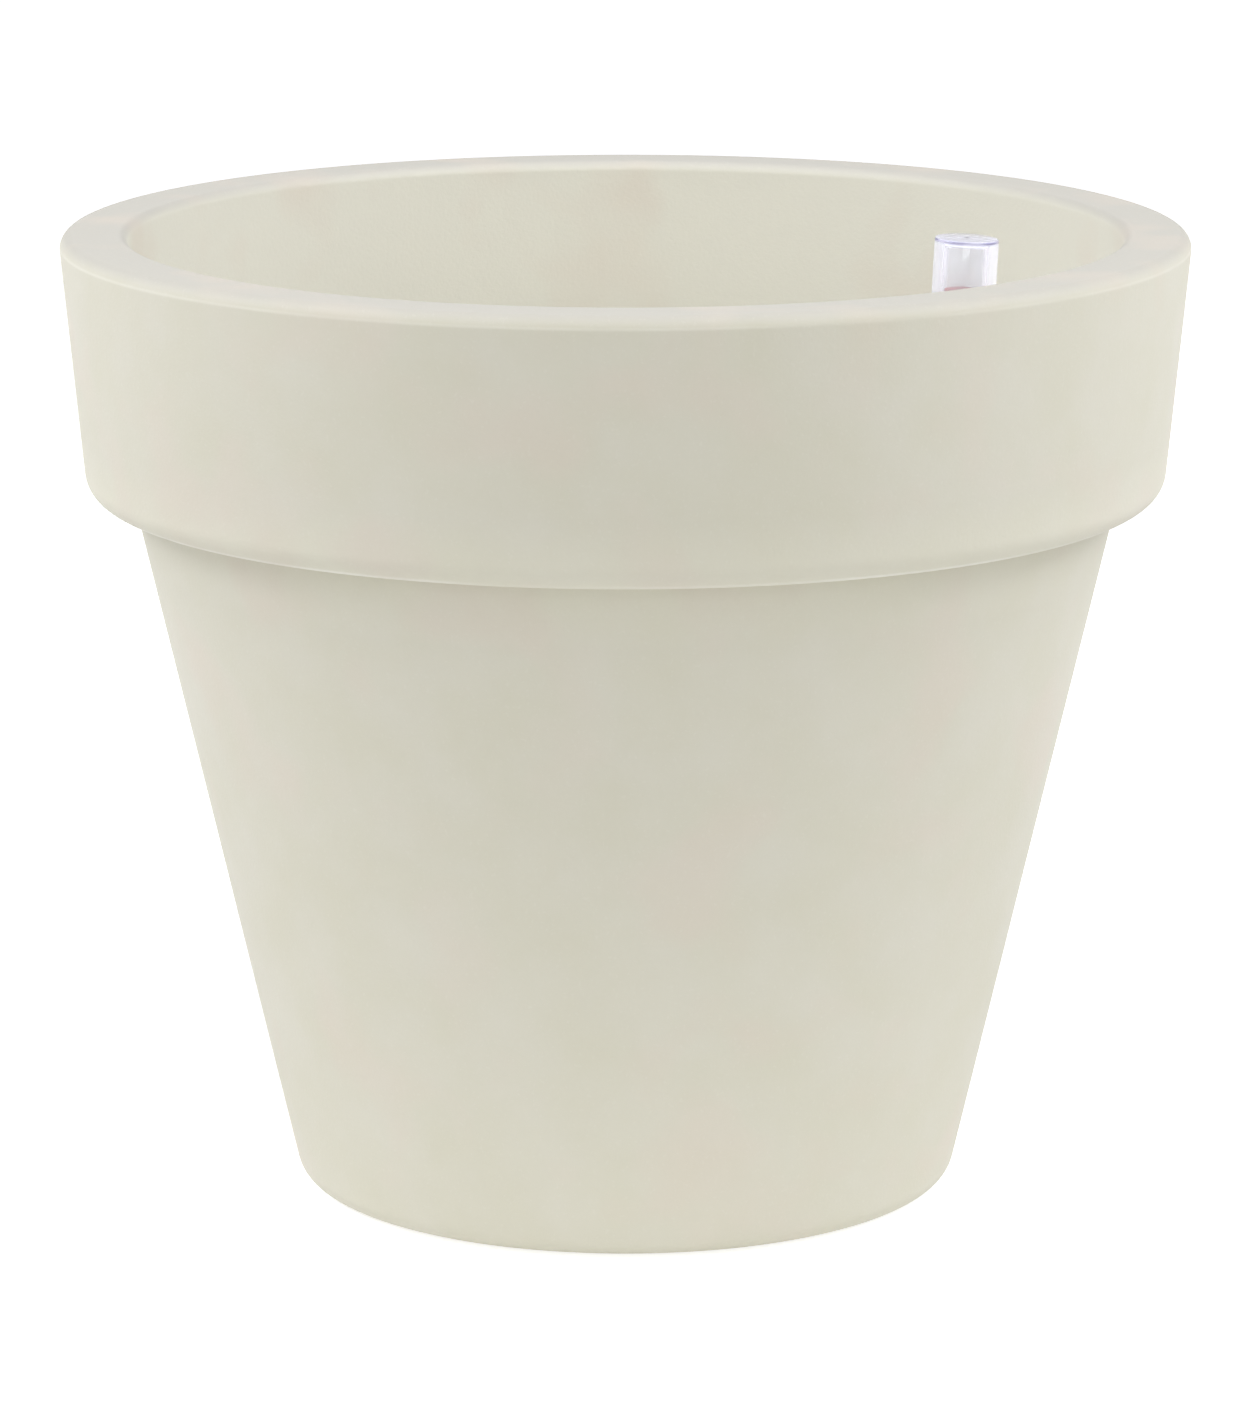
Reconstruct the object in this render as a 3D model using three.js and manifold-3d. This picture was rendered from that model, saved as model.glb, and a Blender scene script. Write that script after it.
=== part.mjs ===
// A round self watering planter, standing on z = 0 with +Z up and its axis on x = y = 0, in millimetres.
// A rotomoulded pot with a hollow collar carries a lift-out insert: a slotted tray on legs keeps the
// soil above a water reservoir, three slotted baskets let the soil draw the water up, and a leaning
// fill tube holds the float of the level gauge. A standpipe in the pot's floor sets the highest level.
import * as THREE from "three";
import { mergeVertices } from "three/addons/utils/BufferGeometryUtils.js";
import Module from "manifold-3d";

const wasm = await Module();
wasm.setup();

// Pot
const HEIGHT = 430;
const RIM_R = 250;
const RIM_WIDTH = 30.5;
const RIM_OUTER_ROUND = 6;
const RIM_INNER_ROUND = 5;
const COLLAR_DEPTH = 117;
const COLLAR_FLARE = 11.2;
const COLLAR_STEP = 20.1;
const COLLAR_ROUND = 12.5;
const COLLAR_WALL = 6;
const BASE_R = 146.2;
const FOOT_ROUND = 13;
const FOOT_RING_WIDTH = 46.2;
const WALL = 6;
const RECESS_DEPTH = 12;
const RECESS_RUN = 10;

// Vent plug of the hollow collar
const VENT_R = 2.5;
const VENT_HEAD_R = 3.4;
const VENT_HEAD = 1.5;
const VENT_STEM = 9;

// Clearances between pieces that fit into each other
const FIT = 0.3;
const LOOSE_FIT = 0.5;

// Separator tray
const TRAY_Z = 72;
const TRAY_PLATE = 3;
const TRAY_WALL_GAP = 1.2;
const TRAY_LIP = 14;
const TRAY_LIP_WALL = 2.5;
const RIB_DEPTH = 8;
const RIB_WIDTH = 2.5;
const HUB_RIB_R = 30;
const SLOT_WIDTH = 4;
const SLOT_LENGTH = 16;
const SLOT_MARGIN = 3.5;
const SLOT_FIRST_R = 18;
const SLOT_ROW_PITCH = 24;
const SLOT_SPACING = 20;

// Legs
const OUTER_LEGS = 6;
const OUTER_LEG_TURN = 30;
const INNER_LEGS = 3;
const INNER_LEG_RING_R = 45;
const LEG_R = 8;
const LEG_FOOT_R = 11;
const LEG_FOOT = 3;
const LEG_BOSS_WALL = 2.5;
const LEG_PIN_R = 4;
const LEG_HEAD_R = 5.5;
const LEG_HEAD = 2.5;

// Wicking baskets
const BASKETS = 3;
const BASKET_TURN = 60;
const BASKET_RING_R = 75;
const BASKET_TOP_R = 30.5;
const BASKET_BOTTOM_R = 23;
const BASKET_WALL = 2;
const BASKET_FLANGE = 4;
const BASKET_FLANGE_THICK = 2;
const BASKET_FLOOR_GAP = 3;
const BASKET_SLOTS = 12;
const BASKET_SLOT_WIDTH = 3;
const BASKET_SLOT_TOP_MARGIN = 12;
const BASKET_SLOT_BOTTOM_MARGIN = 6;

// Drain fitting with its standpipe, gasket, nut and quarter-turn plug
const WATER_LEVEL = 60;
const SPIGOT_R = 14;
const SPIGOT_BELOW = 7;
const DRAIN_FLANGE_R = 22;
const DRAIN_FLANGE = 3;
const GASKET = 2;
const STANDPIPE_R = 9.5;
const DRAIN_BORE_R = 7;
const LOCKNUT_R = 23;
const LOCKNUT = 5;
const GROOVE_DEPTH = 2.5;
const GROOVE_ABOVE_SPIGOT_END = 4;
const GROOVE_HEIGHT = 3.2;
const LUG_WIDTH = 5;
const PLUG_HEAD_R = 13;
const PLUG_HEAD = 2.6;
const PLUG_GRIP_WIDTH = 4;
const PLUG_GRIP_DROP = 1.2;
const PLUG_STEM = 13.5;
const ORING_R = 0.75;
const ORING_BELOW_STEM_END = 3;

// Level gauge in the fill tube, which leans outwards from the narrow floor to the wide rim
const GAUGE_TOP_X = 150.9;
const GAUGE_BELOW_RIM = 4;
const GAUGE_WALL_GAP = 2;
const TUBE_R = 11;
const TUBE_WALL = 1.5;
const TUBE_INTAKES = 4;
const INTAKE_WIDTH = 5;
const INTAKE_LENGTH = 34;
const INTAKE_MARGIN = 8;
const STRAINER_FOOT_R = 7;
const STRAINER_FOOT_GAP = 0.9;
const STRAINER_FOOT = 3.5;
const STRAINER_CONE = 3;
const STRAINER_EDGE = 1.5;
const STRAINER_SPIGOT = 5;
const STRAINER_WALL = 2;
const CAP_R = 14.2;
const CAP_WALL = 1.8;
const CAP_LENGTH = 62;
const CAP_TOP = 2.5;
const CAP_BEVEL = 1;
const CAP_OVERLAP = 18;
const STOP_COLLAR = 3;
const FLOAT_R = 8;
const FLOAT_LENGTH = 40;
const FLOAT_BEVEL = 2;
const ROD_R = 1.5;
const ROD_SOCKET = 12;
const DISC_R = 8.7;
const DISC_HEIGHT = 8;
const DISC_BEVEL = 1.2;
const DISC_BELOW_CAP_TOP = 22.5;
const DISC_SOCKET = 5;
const GUIDE_RING_WALL = 1.5;
const GUIDE_HEIGHT = 8;
const GUIDE_HUB_R = 3.4;
const GUIDE_SPOKES = 3;
const GUIDE_SPOKE_WIDTH = 1.6;
const GUIDE_SPOKE_HEIGHT = 5;
const GUIDE_LIP = 1.2;
const GROMMET_WALL = 2.2;
const GROMMET_FLANGE = 2.5;
const GROMMET_LIP = 2.2;
const SLEEVE_WALL = 2.5;
const SLEEVE_RISE = 6;

// Facets
const POT_SIDES = 48;
const BASKET_SIDES = 24;
const TUBE_SIDES = 20;
const LEG_SIDES = 10;
const ROD_SIDES = 10;
const ARC_STEPS = 3;
const CUT_PAST = 1;

// Places that follow from the sizes above
const collarZ = HEIGHT - COLLAR_DEPTH;
const collarBottomR = RIM_R - COLLAR_FLARE;
const coneTopR = collarBottomR - COLLAR_STEP;
const coneLean = Math.atan2(coneTopR - BASE_R, collarZ);
const collarLean = Math.atan2(COLLAR_FLARE, COLLAR_DEPTH);
const innerConeR = (z) => BASE_R + z * Math.tan(coneLean) - WALL / Math.cos(coneLean);
const collarFaceR = (z) => collarBottomR + (z - collarZ) * Math.tan(collarLean);
const innerTopR = RIM_R - RIM_WIDTH;
const innerWallLean = Math.atan2(innerTopR - innerConeR(collarZ), COLLAR_DEPTH);
const innerWallR = (z) => innerTopR - (HEIGHT - z) * Math.tan(innerWallLean);
const footArcR = BASE_R + FOOT_ROUND * Math.tan(coneLean) - FOOT_ROUND / Math.cos(coneLean);
const collarArcR = collarBottomR + COLLAR_ROUND * (Math.tan(collarLean) - 1 / Math.cos(collarLean));
const rimArcR = RIM_R - RIM_OUTER_ROUND * (Math.tan(collarLean) + 1 / Math.cos(collarLean));
const ventRingR = (coneTopR + collarArcR) / 2;
const recessR = BASE_R - FOOT_RING_WIDTH;
const channelZ = WALL;
const channelInnerR = recessR + WALL;
const raisedFloorZ = RECESS_DEPTH + WALL;
const legRingR = (channelInnerR + footArcR) / 2;
const trayTopZ = TRAY_Z + TRAY_PLATE;

const drainHoleR = SPIGOT_R + LOOSE_FIT;
const drainFlangeZ = raisedFloorZ + GASKET;
const spigotZ = RECESS_DEPTH - SPIGOT_BELOW;
const grooveR = DRAIN_BORE_R + GROOVE_DEPTH;
const grooveZ = spigotZ + GROOVE_ABOVE_SPIGOT_END;

const gaugeTopZ = HEIGHT - GAUGE_BELOW_RIM;
const gaugeBaseX = innerConeR(FOOT_ROUND) - TUBE_R - GAUGE_WALL_GAP;
const gaugeLean = Math.atan2(GAUGE_TOP_X - gaugeBaseX, gaugeTopZ - channelZ);
const gaugeLength = Math.hypot(GAUGE_TOP_X - gaugeBaseX, gaugeTopZ - channelZ);
const tubeBoreR = TUBE_R - TUBE_WALL;
const strainerTop = STRAINER_FOOT_GAP + STRAINER_FOOT + STRAINER_CONE + STRAINER_EDGE;
const tubeStart = strainerTop + FIT;
const floatStart = tubeStart + STRAINER_SPIGOT + FIT;
const tubeCollarTop = gaugeLength - CAP_LENGTH - FIT;
const tubeEnd = tubeCollarTop + CAP_OVERLAP;
const rodStart = floatStart + FLOAT_LENGTH - ROD_SOCKET;
const discTop = gaugeLength - DISC_BELOW_CAP_TOP;
const discStart = discTop - DISC_HEIGHT;
const gaugeAtTray = (trayTopZ - channelZ) / Math.cos(gaugeLean);
const sleeveTop = gaugeAtTray + SLEEVE_RISE;
const sleeveBoreR = TUBE_R + FIT + GROMMET_WALL + FIT;
const sleeveR = sleeveBoreR + SLEEVE_WALL;

// Materials
const matte = (color, roughness) => new THREE.MeshStandardMaterial({ color, roughness, metalness: 0 });
const potPlastic = matte(0xdedbcf, 0.62);
const insertPlastic = matte(0x2b2c2d, 0.55);
const tubePlastic = matte(0x232425, 0.45);
const drainPlastic = matte(0x4b4d4f, 0.5);
const rubber = matte(0x151515, 0.85);
const floatFoam = matte(0xf2f1ec, 0.8);
const rodPlastic = matte(0xe6e5e0, 0.4);
const indicatorRed = matte(0xc8141b, 0.35);
const clearPlastic = new THREE.MeshStandardMaterial({
  color: 0xeef0f6,
  roughness: 0.08,
  metalness: 0,
  transparent: true,
  opacity: 0.35,
});

// A solid is a manifold-3d body, made from a closed three.js geometry
function solidOf(geometry) {
  const bare = geometry.clone();
  bare.deleteAttribute("normal");
  bare.deleteAttribute("uv");
  const merged = mergeVertices(bare, 1e-4);
  const corners = merged.index.array;
  const kept = [];
  for (let i = 0; i < corners.length; i += 3) {
    const [a, b, c] = corners.slice(i, i + 3);
    if (a !== b && b !== c && c !== a) kept.push(a, b, c);
  }
  return new wasm.Manifold(
    new wasm.Mesh({
      numProp: 3,
      vertProperties: new Float32Array(merged.attributes.position.array),
      triVerts: new Uint32Array(kept),
    }),
  );
}

function geometryOf(solid) {
  const { vertProperties, triVerts, numProp } = solid.getMesh();
  const corners = new Float32Array(triVerts.length * 3);
  triVerts.forEach((vertex, i) => {
    for (let k = 0; k < 3; k += 1) corners[3 * i + k] = vertProperties[vertex * numProp + k];
  });
  const geometry = new THREE.BufferGeometry();
  geometry.setAttribute("position", new THREE.BufferAttribute(corners, 3));
  geometry.computeVertexNormals();
  return geometry;
}

// Profiles are lists of [radius, z] that run counter-clockwise, with z up and the radius to the right
function turned(profile, sides) {
  const points = [...profile, profile[0]].map(([r, z]) => new THREE.Vector2(r, z));
  return solidOf(new THREE.LatheGeometry(points, sides).rotateX(Math.PI / 2));
}

function arc(centreR, centreZ, radius, startDeg, endDeg, steps = ARC_STEPS) {
  return Array.from({ length: steps + 1 }, (_, i) => {
    const angle = THREE.MathUtils.degToRad(startDeg + ((endDeg - startDeg) * i) / steps);
    return [centreR + radius * Math.cos(angle), centreZ + radius * Math.sin(angle)];
  });
}

const degrees = (radians) => THREE.MathUtils.radToDeg(radians);

function ringPoint(radius, turn) {
  const angle = THREE.MathUtils.degToRad(turn);
  return [radius * Math.cos(angle), radius * Math.sin(angle)];
}

const onRing = (count, startDeg = 0) => Array.from({ length: count }, (_, i) => startDeg + (360 * i) / count);

const rod = (radius, z0, z1, sides) => turned([[0, z0], [radius, z0], [radius, z1], [0, z1]], sides);

const tube = (outerR, innerR, z0, z1, sides) =>
  turned([[innerR, z0], [outerR, z0], [outerR, z1], [innerR, z1]], sides);

const bar = (x0, x1, width, z0, z1) =>
  solidOf(new THREE.BoxGeometry(x1 - x0, width, z1 - z0).translate((x0 + x1) / 2, 0, (z0 + z1) / 2));

const turnedBy = (solid, turn) => solid.rotate([0, 0, turn]);

const leaning = (solid) => solid.rotate([0, degrees(gaugeLean), 0]).translate([gaugeBaseX, 0, channelZ]);

// Rotomoulded pot: one skin, doubled only in the collar, whose hollow a vent hole opens
function potShell() {
  const outside = [
    [drainHoleR, RECESS_DEPTH],
    [recessR - RECESS_RUN, RECESS_DEPTH],
    [recessR, 0],
    ...arc(footArcR, FOOT_ROUND, FOOT_ROUND, -90, -degrees(coneLean)),
    [coneTopR, collarZ],
    ...arc(collarArcR, collarZ + COLLAR_ROUND, COLLAR_ROUND, -90, -degrees(collarLean)),
    ...arc(rimArcR, HEIGHT - RIM_OUTER_ROUND, RIM_OUTER_ROUND, -degrees(collarLean), 90),
  ];
  const rimInnerZ = HEIGHT - RIM_INNER_ROUND;
  const rimInnerArcR = innerWallR(rimInnerZ) + RIM_INNER_ROUND / Math.cos(innerWallLean);
  const inside = [
    ...arc(rimInnerArcR, rimInnerZ, RIM_INNER_ROUND, 90, 180 - degrees(innerWallLean)),
    [innerConeR(collarZ), collarZ],
    ...arc(footArcR, FOOT_ROUND, FOOT_ROUND - WALL, -degrees(coneLean), -90),
    [channelInnerR, channelZ],
    [channelInnerR - RECESS_RUN, raisedFloorZ],
    [drainHoleR, raisedFloorZ],
  ];
  const hollowZ = collarZ + COLLAR_WALL;
  const hollowTopZ = HEIGHT - COLLAR_WALL;
  const hollow = turned(
    [
      [innerWallR(hollowZ) + COLLAR_WALL, hollowZ],
      [collarArcR, hollowZ],
      [collarFaceR(collarZ + COLLAR_ROUND) - COLLAR_WALL, collarZ + COLLAR_ROUND],
      [collarFaceR(hollowTopZ) - COLLAR_WALL, hollowTopZ],
      [innerWallR(hollowTopZ) + COLLAR_WALL, hollowTopZ],
    ],
    POT_SIDES,
  );
  const vent = rod(VENT_R, collarZ - CUT_PAST, hollowZ + CUT_PAST, ROD_SIDES).translate([0, ventRingR, 0]);
  return turned([...outside, ...inside], POT_SIDES).subtract(hollow).subtract(vent);
}

// Plug that closes the vent hole, pushed in from below
function collarVentPlug() {
  const headZ = collarZ - VENT_HEAD;
  return rod(VENT_HEAD_R, headZ, collarZ, ROD_SIDES)
    .add(rod(VENT_R - FIT, headZ, headZ + VENT_STEM, ROD_SIDES))
    .translate([0, ventRingR, 0]);
}

// Places of what the tray holds, shared by the tray and by its legs and baskets
const ribTurns = onRing(OUTER_LEGS, OUTER_LEG_TURN);
const legPlaces = [
  ...ribTurns.map((turn) => ({ turn, radius: legRingR, floorZ: channelZ })),
  ...onRing(INNER_LEGS).map((turn) => ({ turn, radius: INNER_LEG_RING_R, floorZ: raisedFloorZ })),
];
const basketTurns = onRing(BASKETS, BASKET_TURN);
const basketSeatR = BASKET_TOP_R + LOOSE_FIT;
const legBossR = LEG_R + FIT + LEG_BOSS_WALL;
const plateR = innerConeR(TRAY_Z) - TRAY_WALL_GAP;

// Slots fill the fields between the ribs, row by row, wherever no basket, leg or sleeve is in the way
function slotPlaces() {
  const keepOut = [
    ...basketTurns.map((turn) => [...ringPoint(BASKET_RING_R, turn), BASKET_TOP_R + BASKET_FLANGE]),
    ...legPlaces.map(({ turn, radius }) => [...ringPoint(radius, turn), legBossR]),
    [gaugeBaseX + (trayTopZ - channelZ) * Math.tan(gaugeLean), 0, sleeveR],
  ];
  const reach = SLOT_LENGTH / 2 + SLOT_MARGIN;
  const fieldDeg = 360 / OUTER_LEGS;
  const places = [];
  for (let radius = SLOT_FIRST_R; radius + reach < plateR - TRAY_LIP_WALL; radius += SLOT_ROW_PITCH) {
    const inField = Math.max(1, Math.floor((2 * Math.PI * radius) / OUTER_LEGS / SLOT_SPACING));
    for (const turn of onRing(OUTER_LEGS * inField, OUTER_LEG_TURN + fieldDeg / inField / 2)) {
      const [x, y] = ringPoint(radius, turn);
      if (keepOut.every(([cx, cy, r]) => Math.hypot(x - cx, y - cy) > r + reach)) places.push({ radius, turn });
    }
  }
  return places;
}

// Separator tray: a slotted plate with a flared lip and ribs below, sockets for the legs, round seats
// for the baskets and a leaning sleeve for the fill tube
function separatorTray() {
  const lipTopZ = trayTopZ + TRAY_LIP;
  const lipTopR = innerConeR(lipTopZ) - TRAY_WALL_GAP;
  const lipFootR = innerConeR(trayTopZ) - TRAY_WALL_GAP - TRAY_LIP_WALL;
  const ribZ = TRAY_Z - RIB_DEPTH;
  const ribTopZ = TRAY_Z + TRAY_PLATE / 2;
  let tray = turned(
    [
      [0, TRAY_Z],
      [plateR, TRAY_Z],
      [lipTopR, lipTopZ],
      [lipTopR - TRAY_LIP_WALL, lipTopZ],
      [lipFootR, trayTopZ],
      [0, trayTopZ],
    ],
    POT_SIDES,
  );
  tray = tray.add(tube(HUB_RIB_R + RIB_WIDTH, HUB_RIB_R, ribZ, ribTopZ, BASKET_SIDES));
  for (const turn of ribTurns) {
    const ribEnd = innerConeR(ribZ) - TRAY_WALL_GAP - RIB_WIDTH;
    tray = tray.add(turnedBy(bar(HUB_RIB_R + RIB_WIDTH / 2, ribEnd, RIB_WIDTH, ribZ, ribTopZ), turn));
  }
  for (const turn of basketTurns) {
    const place = [...ringPoint(BASKET_RING_R, turn), 0];
    tray = tray.add(rod(basketSeatR + RIB_WIDTH, ribZ, ribTopZ, BASKET_SIDES).translate(place));
    tray = tray.subtract(
      rod(basketSeatR, ribZ - CUT_PAST, trayTopZ + CUT_PAST, BASKET_SIDES).translate(place),
    );
  }
  for (const { turn, radius } of legPlaces) {
    const place = [...ringPoint(radius, turn), 0];
    tray = tray.add(rod(legBossR, ribZ, ribTopZ, LEG_SIDES).translate(place));
    tray = tray.subtract(rod(LEG_R + FIT, ribZ - CUT_PAST, TRAY_Z, LEG_SIDES).translate(place));
    tray = tray.subtract(rod(LEG_PIN_R + FIT, ribZ, trayTopZ + CUT_PAST, LEG_SIDES).translate(place));
  }
  tray = tray.add(leaning(rod(sleeveR, gaugeAtTray - TRAY_PLATE - RIB_DEPTH, sleeveTop, TUBE_SIDES)));
  tray = tray.subtract(
    leaning(rod(sleeveBoreR, gaugeAtTray - 2 * (TRAY_PLATE + RIB_DEPTH), sleeveTop + CUT_PAST, TUBE_SIDES)),
  );
  for (const { radius, turn } of slotPlaces()) {
    const [from, to] = [radius - SLOT_LENGTH / 2, radius + SLOT_LENGTH / 2];
    tray = tray.subtract(turnedBy(bar(from, to, SLOT_WIDTH, TRAY_Z - CUT_PAST, trayTopZ + CUT_PAST), turn));
  }
  return tray;
}

// A leg stands on the pot's floor, fills its socket under the tray and snaps through with a headed pin
function supportLeg(floorZ) {
  return turned(
    [
      [0, floorZ],
      [LEG_FOOT_R, floorZ],
      [LEG_R, floorZ + LEG_FOOT],
      [LEG_R, TRAY_Z],
      [LEG_PIN_R, TRAY_Z],
      [LEG_PIN_R, trayTopZ],
      [LEG_HEAD_R, trayTopZ],
      [LEG_PIN_R, trayTopZ + LEG_HEAD],
      [0, trayTopZ + LEG_HEAD],
    ],
    LEG_SIDES,
  );
}

// A basket hangs by its flange in the tray and dips its slotted wall into the water
function wickingBasket() {
  const floorZ = raisedFloorZ + BASKET_FLOOR_GAP;
  const flangeTopZ = trayTopZ + BASKET_FLANGE_THICK;
  let basket = turned(
    [
      [0, floorZ],
      [BASKET_BOTTOM_R, floorZ],
      [BASKET_TOP_R, trayTopZ],
      [BASKET_TOP_R + BASKET_FLANGE, trayTopZ],
      [BASKET_TOP_R + BASKET_FLANGE, flangeTopZ],
      [BASKET_TOP_R - BASKET_WALL, flangeTopZ],
      [BASKET_BOTTOM_R - BASKET_WALL, floorZ + BASKET_WALL],
      [0, floorZ + BASKET_WALL],
    ],
    BASKET_SIDES,
  );
  const slotZ = floorZ + BASKET_WALL + BASKET_SLOT_BOTTOM_MARGIN;
  const slotTopZ = trayTopZ - BASKET_SLOT_TOP_MARGIN;
  for (const turn of onRing(BASKET_SLOTS)) {
    const wallSlot = bar(BASKET_BOTTOM_R / 2, BASKET_TOP_R + CUT_PAST, BASKET_SLOT_WIDTH, slotZ, slotTopZ);
    basket = basket.subtract(turnedBy(wallSlot, turn));
  }
  for (const turn of onRing(BASKET_SLOTS / 2)) {
    const [from, to] = [BASKET_BOTTOM_R / 4, BASKET_BOTTOM_R * 0.75];
    const floorSlot = bar(from, to, BASKET_SLOT_WIDTH, floorZ - CUT_PAST, floorZ + BASKET_WALL + CUT_PAST);
    basket = basket.subtract(turnedBy(floorSlot, turn));
  }
  return basket;
}

// Drain fitting: a flanged spigot through the pot's floor with the standpipe on top. A groove in its
// bore takes the plug's two lugs, which enter it from below through a slot across the bore.
function drainFitting() {
  const groove = tube(grooveR, DRAIN_BORE_R / 2, grooveZ, grooveZ + GROOVE_HEIGHT, TUBE_SIDES);
  const entry = bar(-grooveR, grooveR, LUG_WIDTH + 2 * LOOSE_FIT, spigotZ - CUT_PAST, grooveZ + CUT_PAST);
  return turned(
    [
      [DRAIN_BORE_R, spigotZ],
      [SPIGOT_R, spigotZ],
      [SPIGOT_R, drainFlangeZ],
      [DRAIN_FLANGE_R, drainFlangeZ],
      [DRAIN_FLANGE_R, drainFlangeZ + DRAIN_FLANGE],
      [STANDPIPE_R, drainFlangeZ + 2 * DRAIN_FLANGE],
      [STANDPIPE_R, WATER_LEVEL],
      [DRAIN_BORE_R, WATER_LEVEL],
    ],
    TUBE_SIDES,
  )
    .subtract(groove)
    .subtract(turnedBy(entry, 90));
}

const drainGasket = () => tube(DRAIN_FLANGE_R, SPIGOT_R + FIT, raisedFloorZ, drainFlangeZ, TUBE_SIDES);

function drainLocknut() {
  const hexagon = new THREE.Shape(onRing(6).map((turn) => new THREE.Vector2(...ringPoint(LOCKNUT_R, turn))));
  const nut = new THREE.ExtrudeGeometry(hexagon, { depth: LOCKNUT, bevelEnabled: false });
  const hole = rod(SPIGOT_R + FIT, -CUT_PAST, LOCKNUT + CUT_PAST, TUBE_SIDES);
  return solidOf(nut).subtract(hole).translate([0, 0, RECESS_DEPTH - LOCKNUT]);
}

const plugStemR = DRAIN_BORE_R - FIT;
const plugHeadTopZ = spigotZ - FIT;
const plugTopZ = plugHeadTopZ + PLUG_STEM;
const oringZ = plugTopZ - ORING_BELOW_STEM_END;

function drainPlug() {
  const headZ = plugHeadTopZ - PLUG_HEAD;
  const seatR = plugStemR - 2 * ORING_R;
  const seatHalf = ORING_R + FIT;
  const lugR = grooveR - LOOSE_FIT;
  const gripR = PLUG_HEAD_R - PLUG_GRIP_WIDTH / 2;
  return turned(
    [
      [0, headZ],
      [PLUG_HEAD_R, headZ],
      [PLUG_HEAD_R, plugHeadTopZ],
      [plugStemR, plugHeadTopZ],
      [plugStemR, oringZ - seatHalf],
      [seatR, oringZ - seatHalf],
      [seatR, oringZ + seatHalf],
      [plugStemR, oringZ + seatHalf],
      [plugStemR, plugTopZ],
      [0, plugTopZ],
    ],
    TUBE_SIDES,
  )
    .add(bar(-lugR, lugR, LUG_WIDTH, grooveZ + FIT, grooveZ + GROOVE_HEIGHT - FIT))
    .add(bar(-gripR, gripR, PLUG_GRIP_WIDTH, headZ - PLUG_GRIP_DROP, plugHeadTopZ));
}

const drainPlugOring = () =>
  turned(arc(plugStemR - ORING_R + FIT / 2, oringZ, ORING_R, 0, 360, 6).slice(0, -1), TUBE_SIDES);

// Pieces of the gauge are drawn upright along its own axis, from the floor of the channel at z = 0

// Push-in base of the tube: its spigot is the float's lower seat and its bars hold the grit back
function footStrainer() {
  const spigotR = tubeBoreR - FIT;
  const edgeZ = strainerTop - STRAINER_EDGE;
  const top = tubeStart + STRAINER_SPIGOT;
  const shell = turned(
    [
      [STRAINER_FOOT_R - STRAINER_WALL, STRAINER_FOOT_GAP],
      [STRAINER_FOOT_R, STRAINER_FOOT_GAP],
      [STRAINER_FOOT_R, STRAINER_FOOT_GAP + STRAINER_FOOT],
      [TUBE_R, edgeZ],
      [TUBE_R, strainerTop],
      [spigotR, strainerTop],
      [spigotR, top],
      [spigotR - STRAINER_WALL, top],
      [spigotR - STRAINER_WALL, edgeZ],
      [STRAINER_FOOT_R - STRAINER_WALL, STRAINER_FOOT_GAP + STRAINER_FOOT],
    ],
    TUBE_SIDES,
  );
  const barReach = spigotR - STRAINER_WALL / 2;
  const grid = bar(-barReach, barReach, STRAINER_WALL, strainerTop, top);
  return shell.add(grid).add(turnedBy(grid, 90));
}

function fillTube() {
  const wall = turned(
    [
      [tubeBoreR, tubeStart],
      [TUBE_R, tubeStart],
      [TUBE_R, tubeCollarTop - 2 * STOP_COLLAR],
      [CAP_R, tubeCollarTop - STOP_COLLAR],
      [CAP_R, tubeCollarTop],
      [TUBE_R, tubeCollarTop],
      [TUBE_R, tubeEnd],
      [tubeBoreR, tubeEnd],
    ],
    TUBE_SIDES,
  );
  const intakeStart = tubeStart + INTAKE_MARGIN;
  const intake = bar(tubeBoreR / 2, TUBE_R + CUT_PAST, INTAKE_WIDTH, intakeStart, intakeStart + INTAKE_LENGTH);
  return onRing(TUBE_INTAKES, 45).reduce((solid, turn) => solid.subtract(turnedBy(intake, turn)), wall);
}

// Spider in the tube's mouth: water passes between its spokes and its hub guides the float's rod
function rodGuide() {
  const ringR = tubeBoreR - FIT;
  const boreR = ringR - GUIDE_RING_WALL;
  const top = tubeEnd + FIT;
  const bottom = top - GUIDE_HEIGHT;
  const ring = turned(
    [
      [boreR, bottom],
      [ringR, bottom],
      [ringR, top],
      [TUBE_R, top],
      [TUBE_R, top + GUIDE_LIP],
      [boreR, top + GUIDE_LIP],
    ],
    TUBE_SIDES,
  );
  const spoke = bar(GUIDE_HUB_R / 2, boreR + GUIDE_RING_WALL / 2, GUIDE_SPOKE_WIDTH, top - GUIDE_SPOKE_HEIGHT, top);
  return onRing(GUIDE_SPOKES, 30)
    .reduce((solid, turn) => solid.add(turnedBy(spoke, turn)), ring.add(rod(GUIDE_HUB_R, bottom, top, ROD_SIDES)))
    .subtract(rod(ROD_R + FIT, bottom - CUT_PAST, top + CUT_PAST, ROD_SIDES));
}

function floatBody() {
  const top = floatStart + FLOAT_LENGTH;
  return turned(
    [
      [0, floatStart],
      [FLOAT_R - FLOAT_BEVEL, floatStart],
      [FLOAT_R, floatStart + FLOAT_BEVEL],
      [FLOAT_R, top - FLOAT_BEVEL],
      [FLOAT_R - FLOAT_BEVEL, top],
      [ROD_R + FIT, top],
      [ROD_R + FIT, rodStart - FIT],
      [0, rodStart - FIT],
    ],
    TUBE_SIDES,
  );
}

const floatRod = () => rod(ROD_R, rodStart, discStart + DISC_SOCKET - FIT, ROD_SIDES);

function indicatorDisc() {
  return turned(
    [
      [0, discStart + DISC_SOCKET],
      [ROD_R + FIT, discStart + DISC_SOCKET],
      [ROD_R + FIT, discStart],
      [DISC_R, discStart],
      [DISC_R, discTop - DISC_BEVEL],
      [DISC_R - DISC_BEVEL, discTop],
      [0, discTop],
    ],
    TUBE_SIDES,
  );
}

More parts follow.
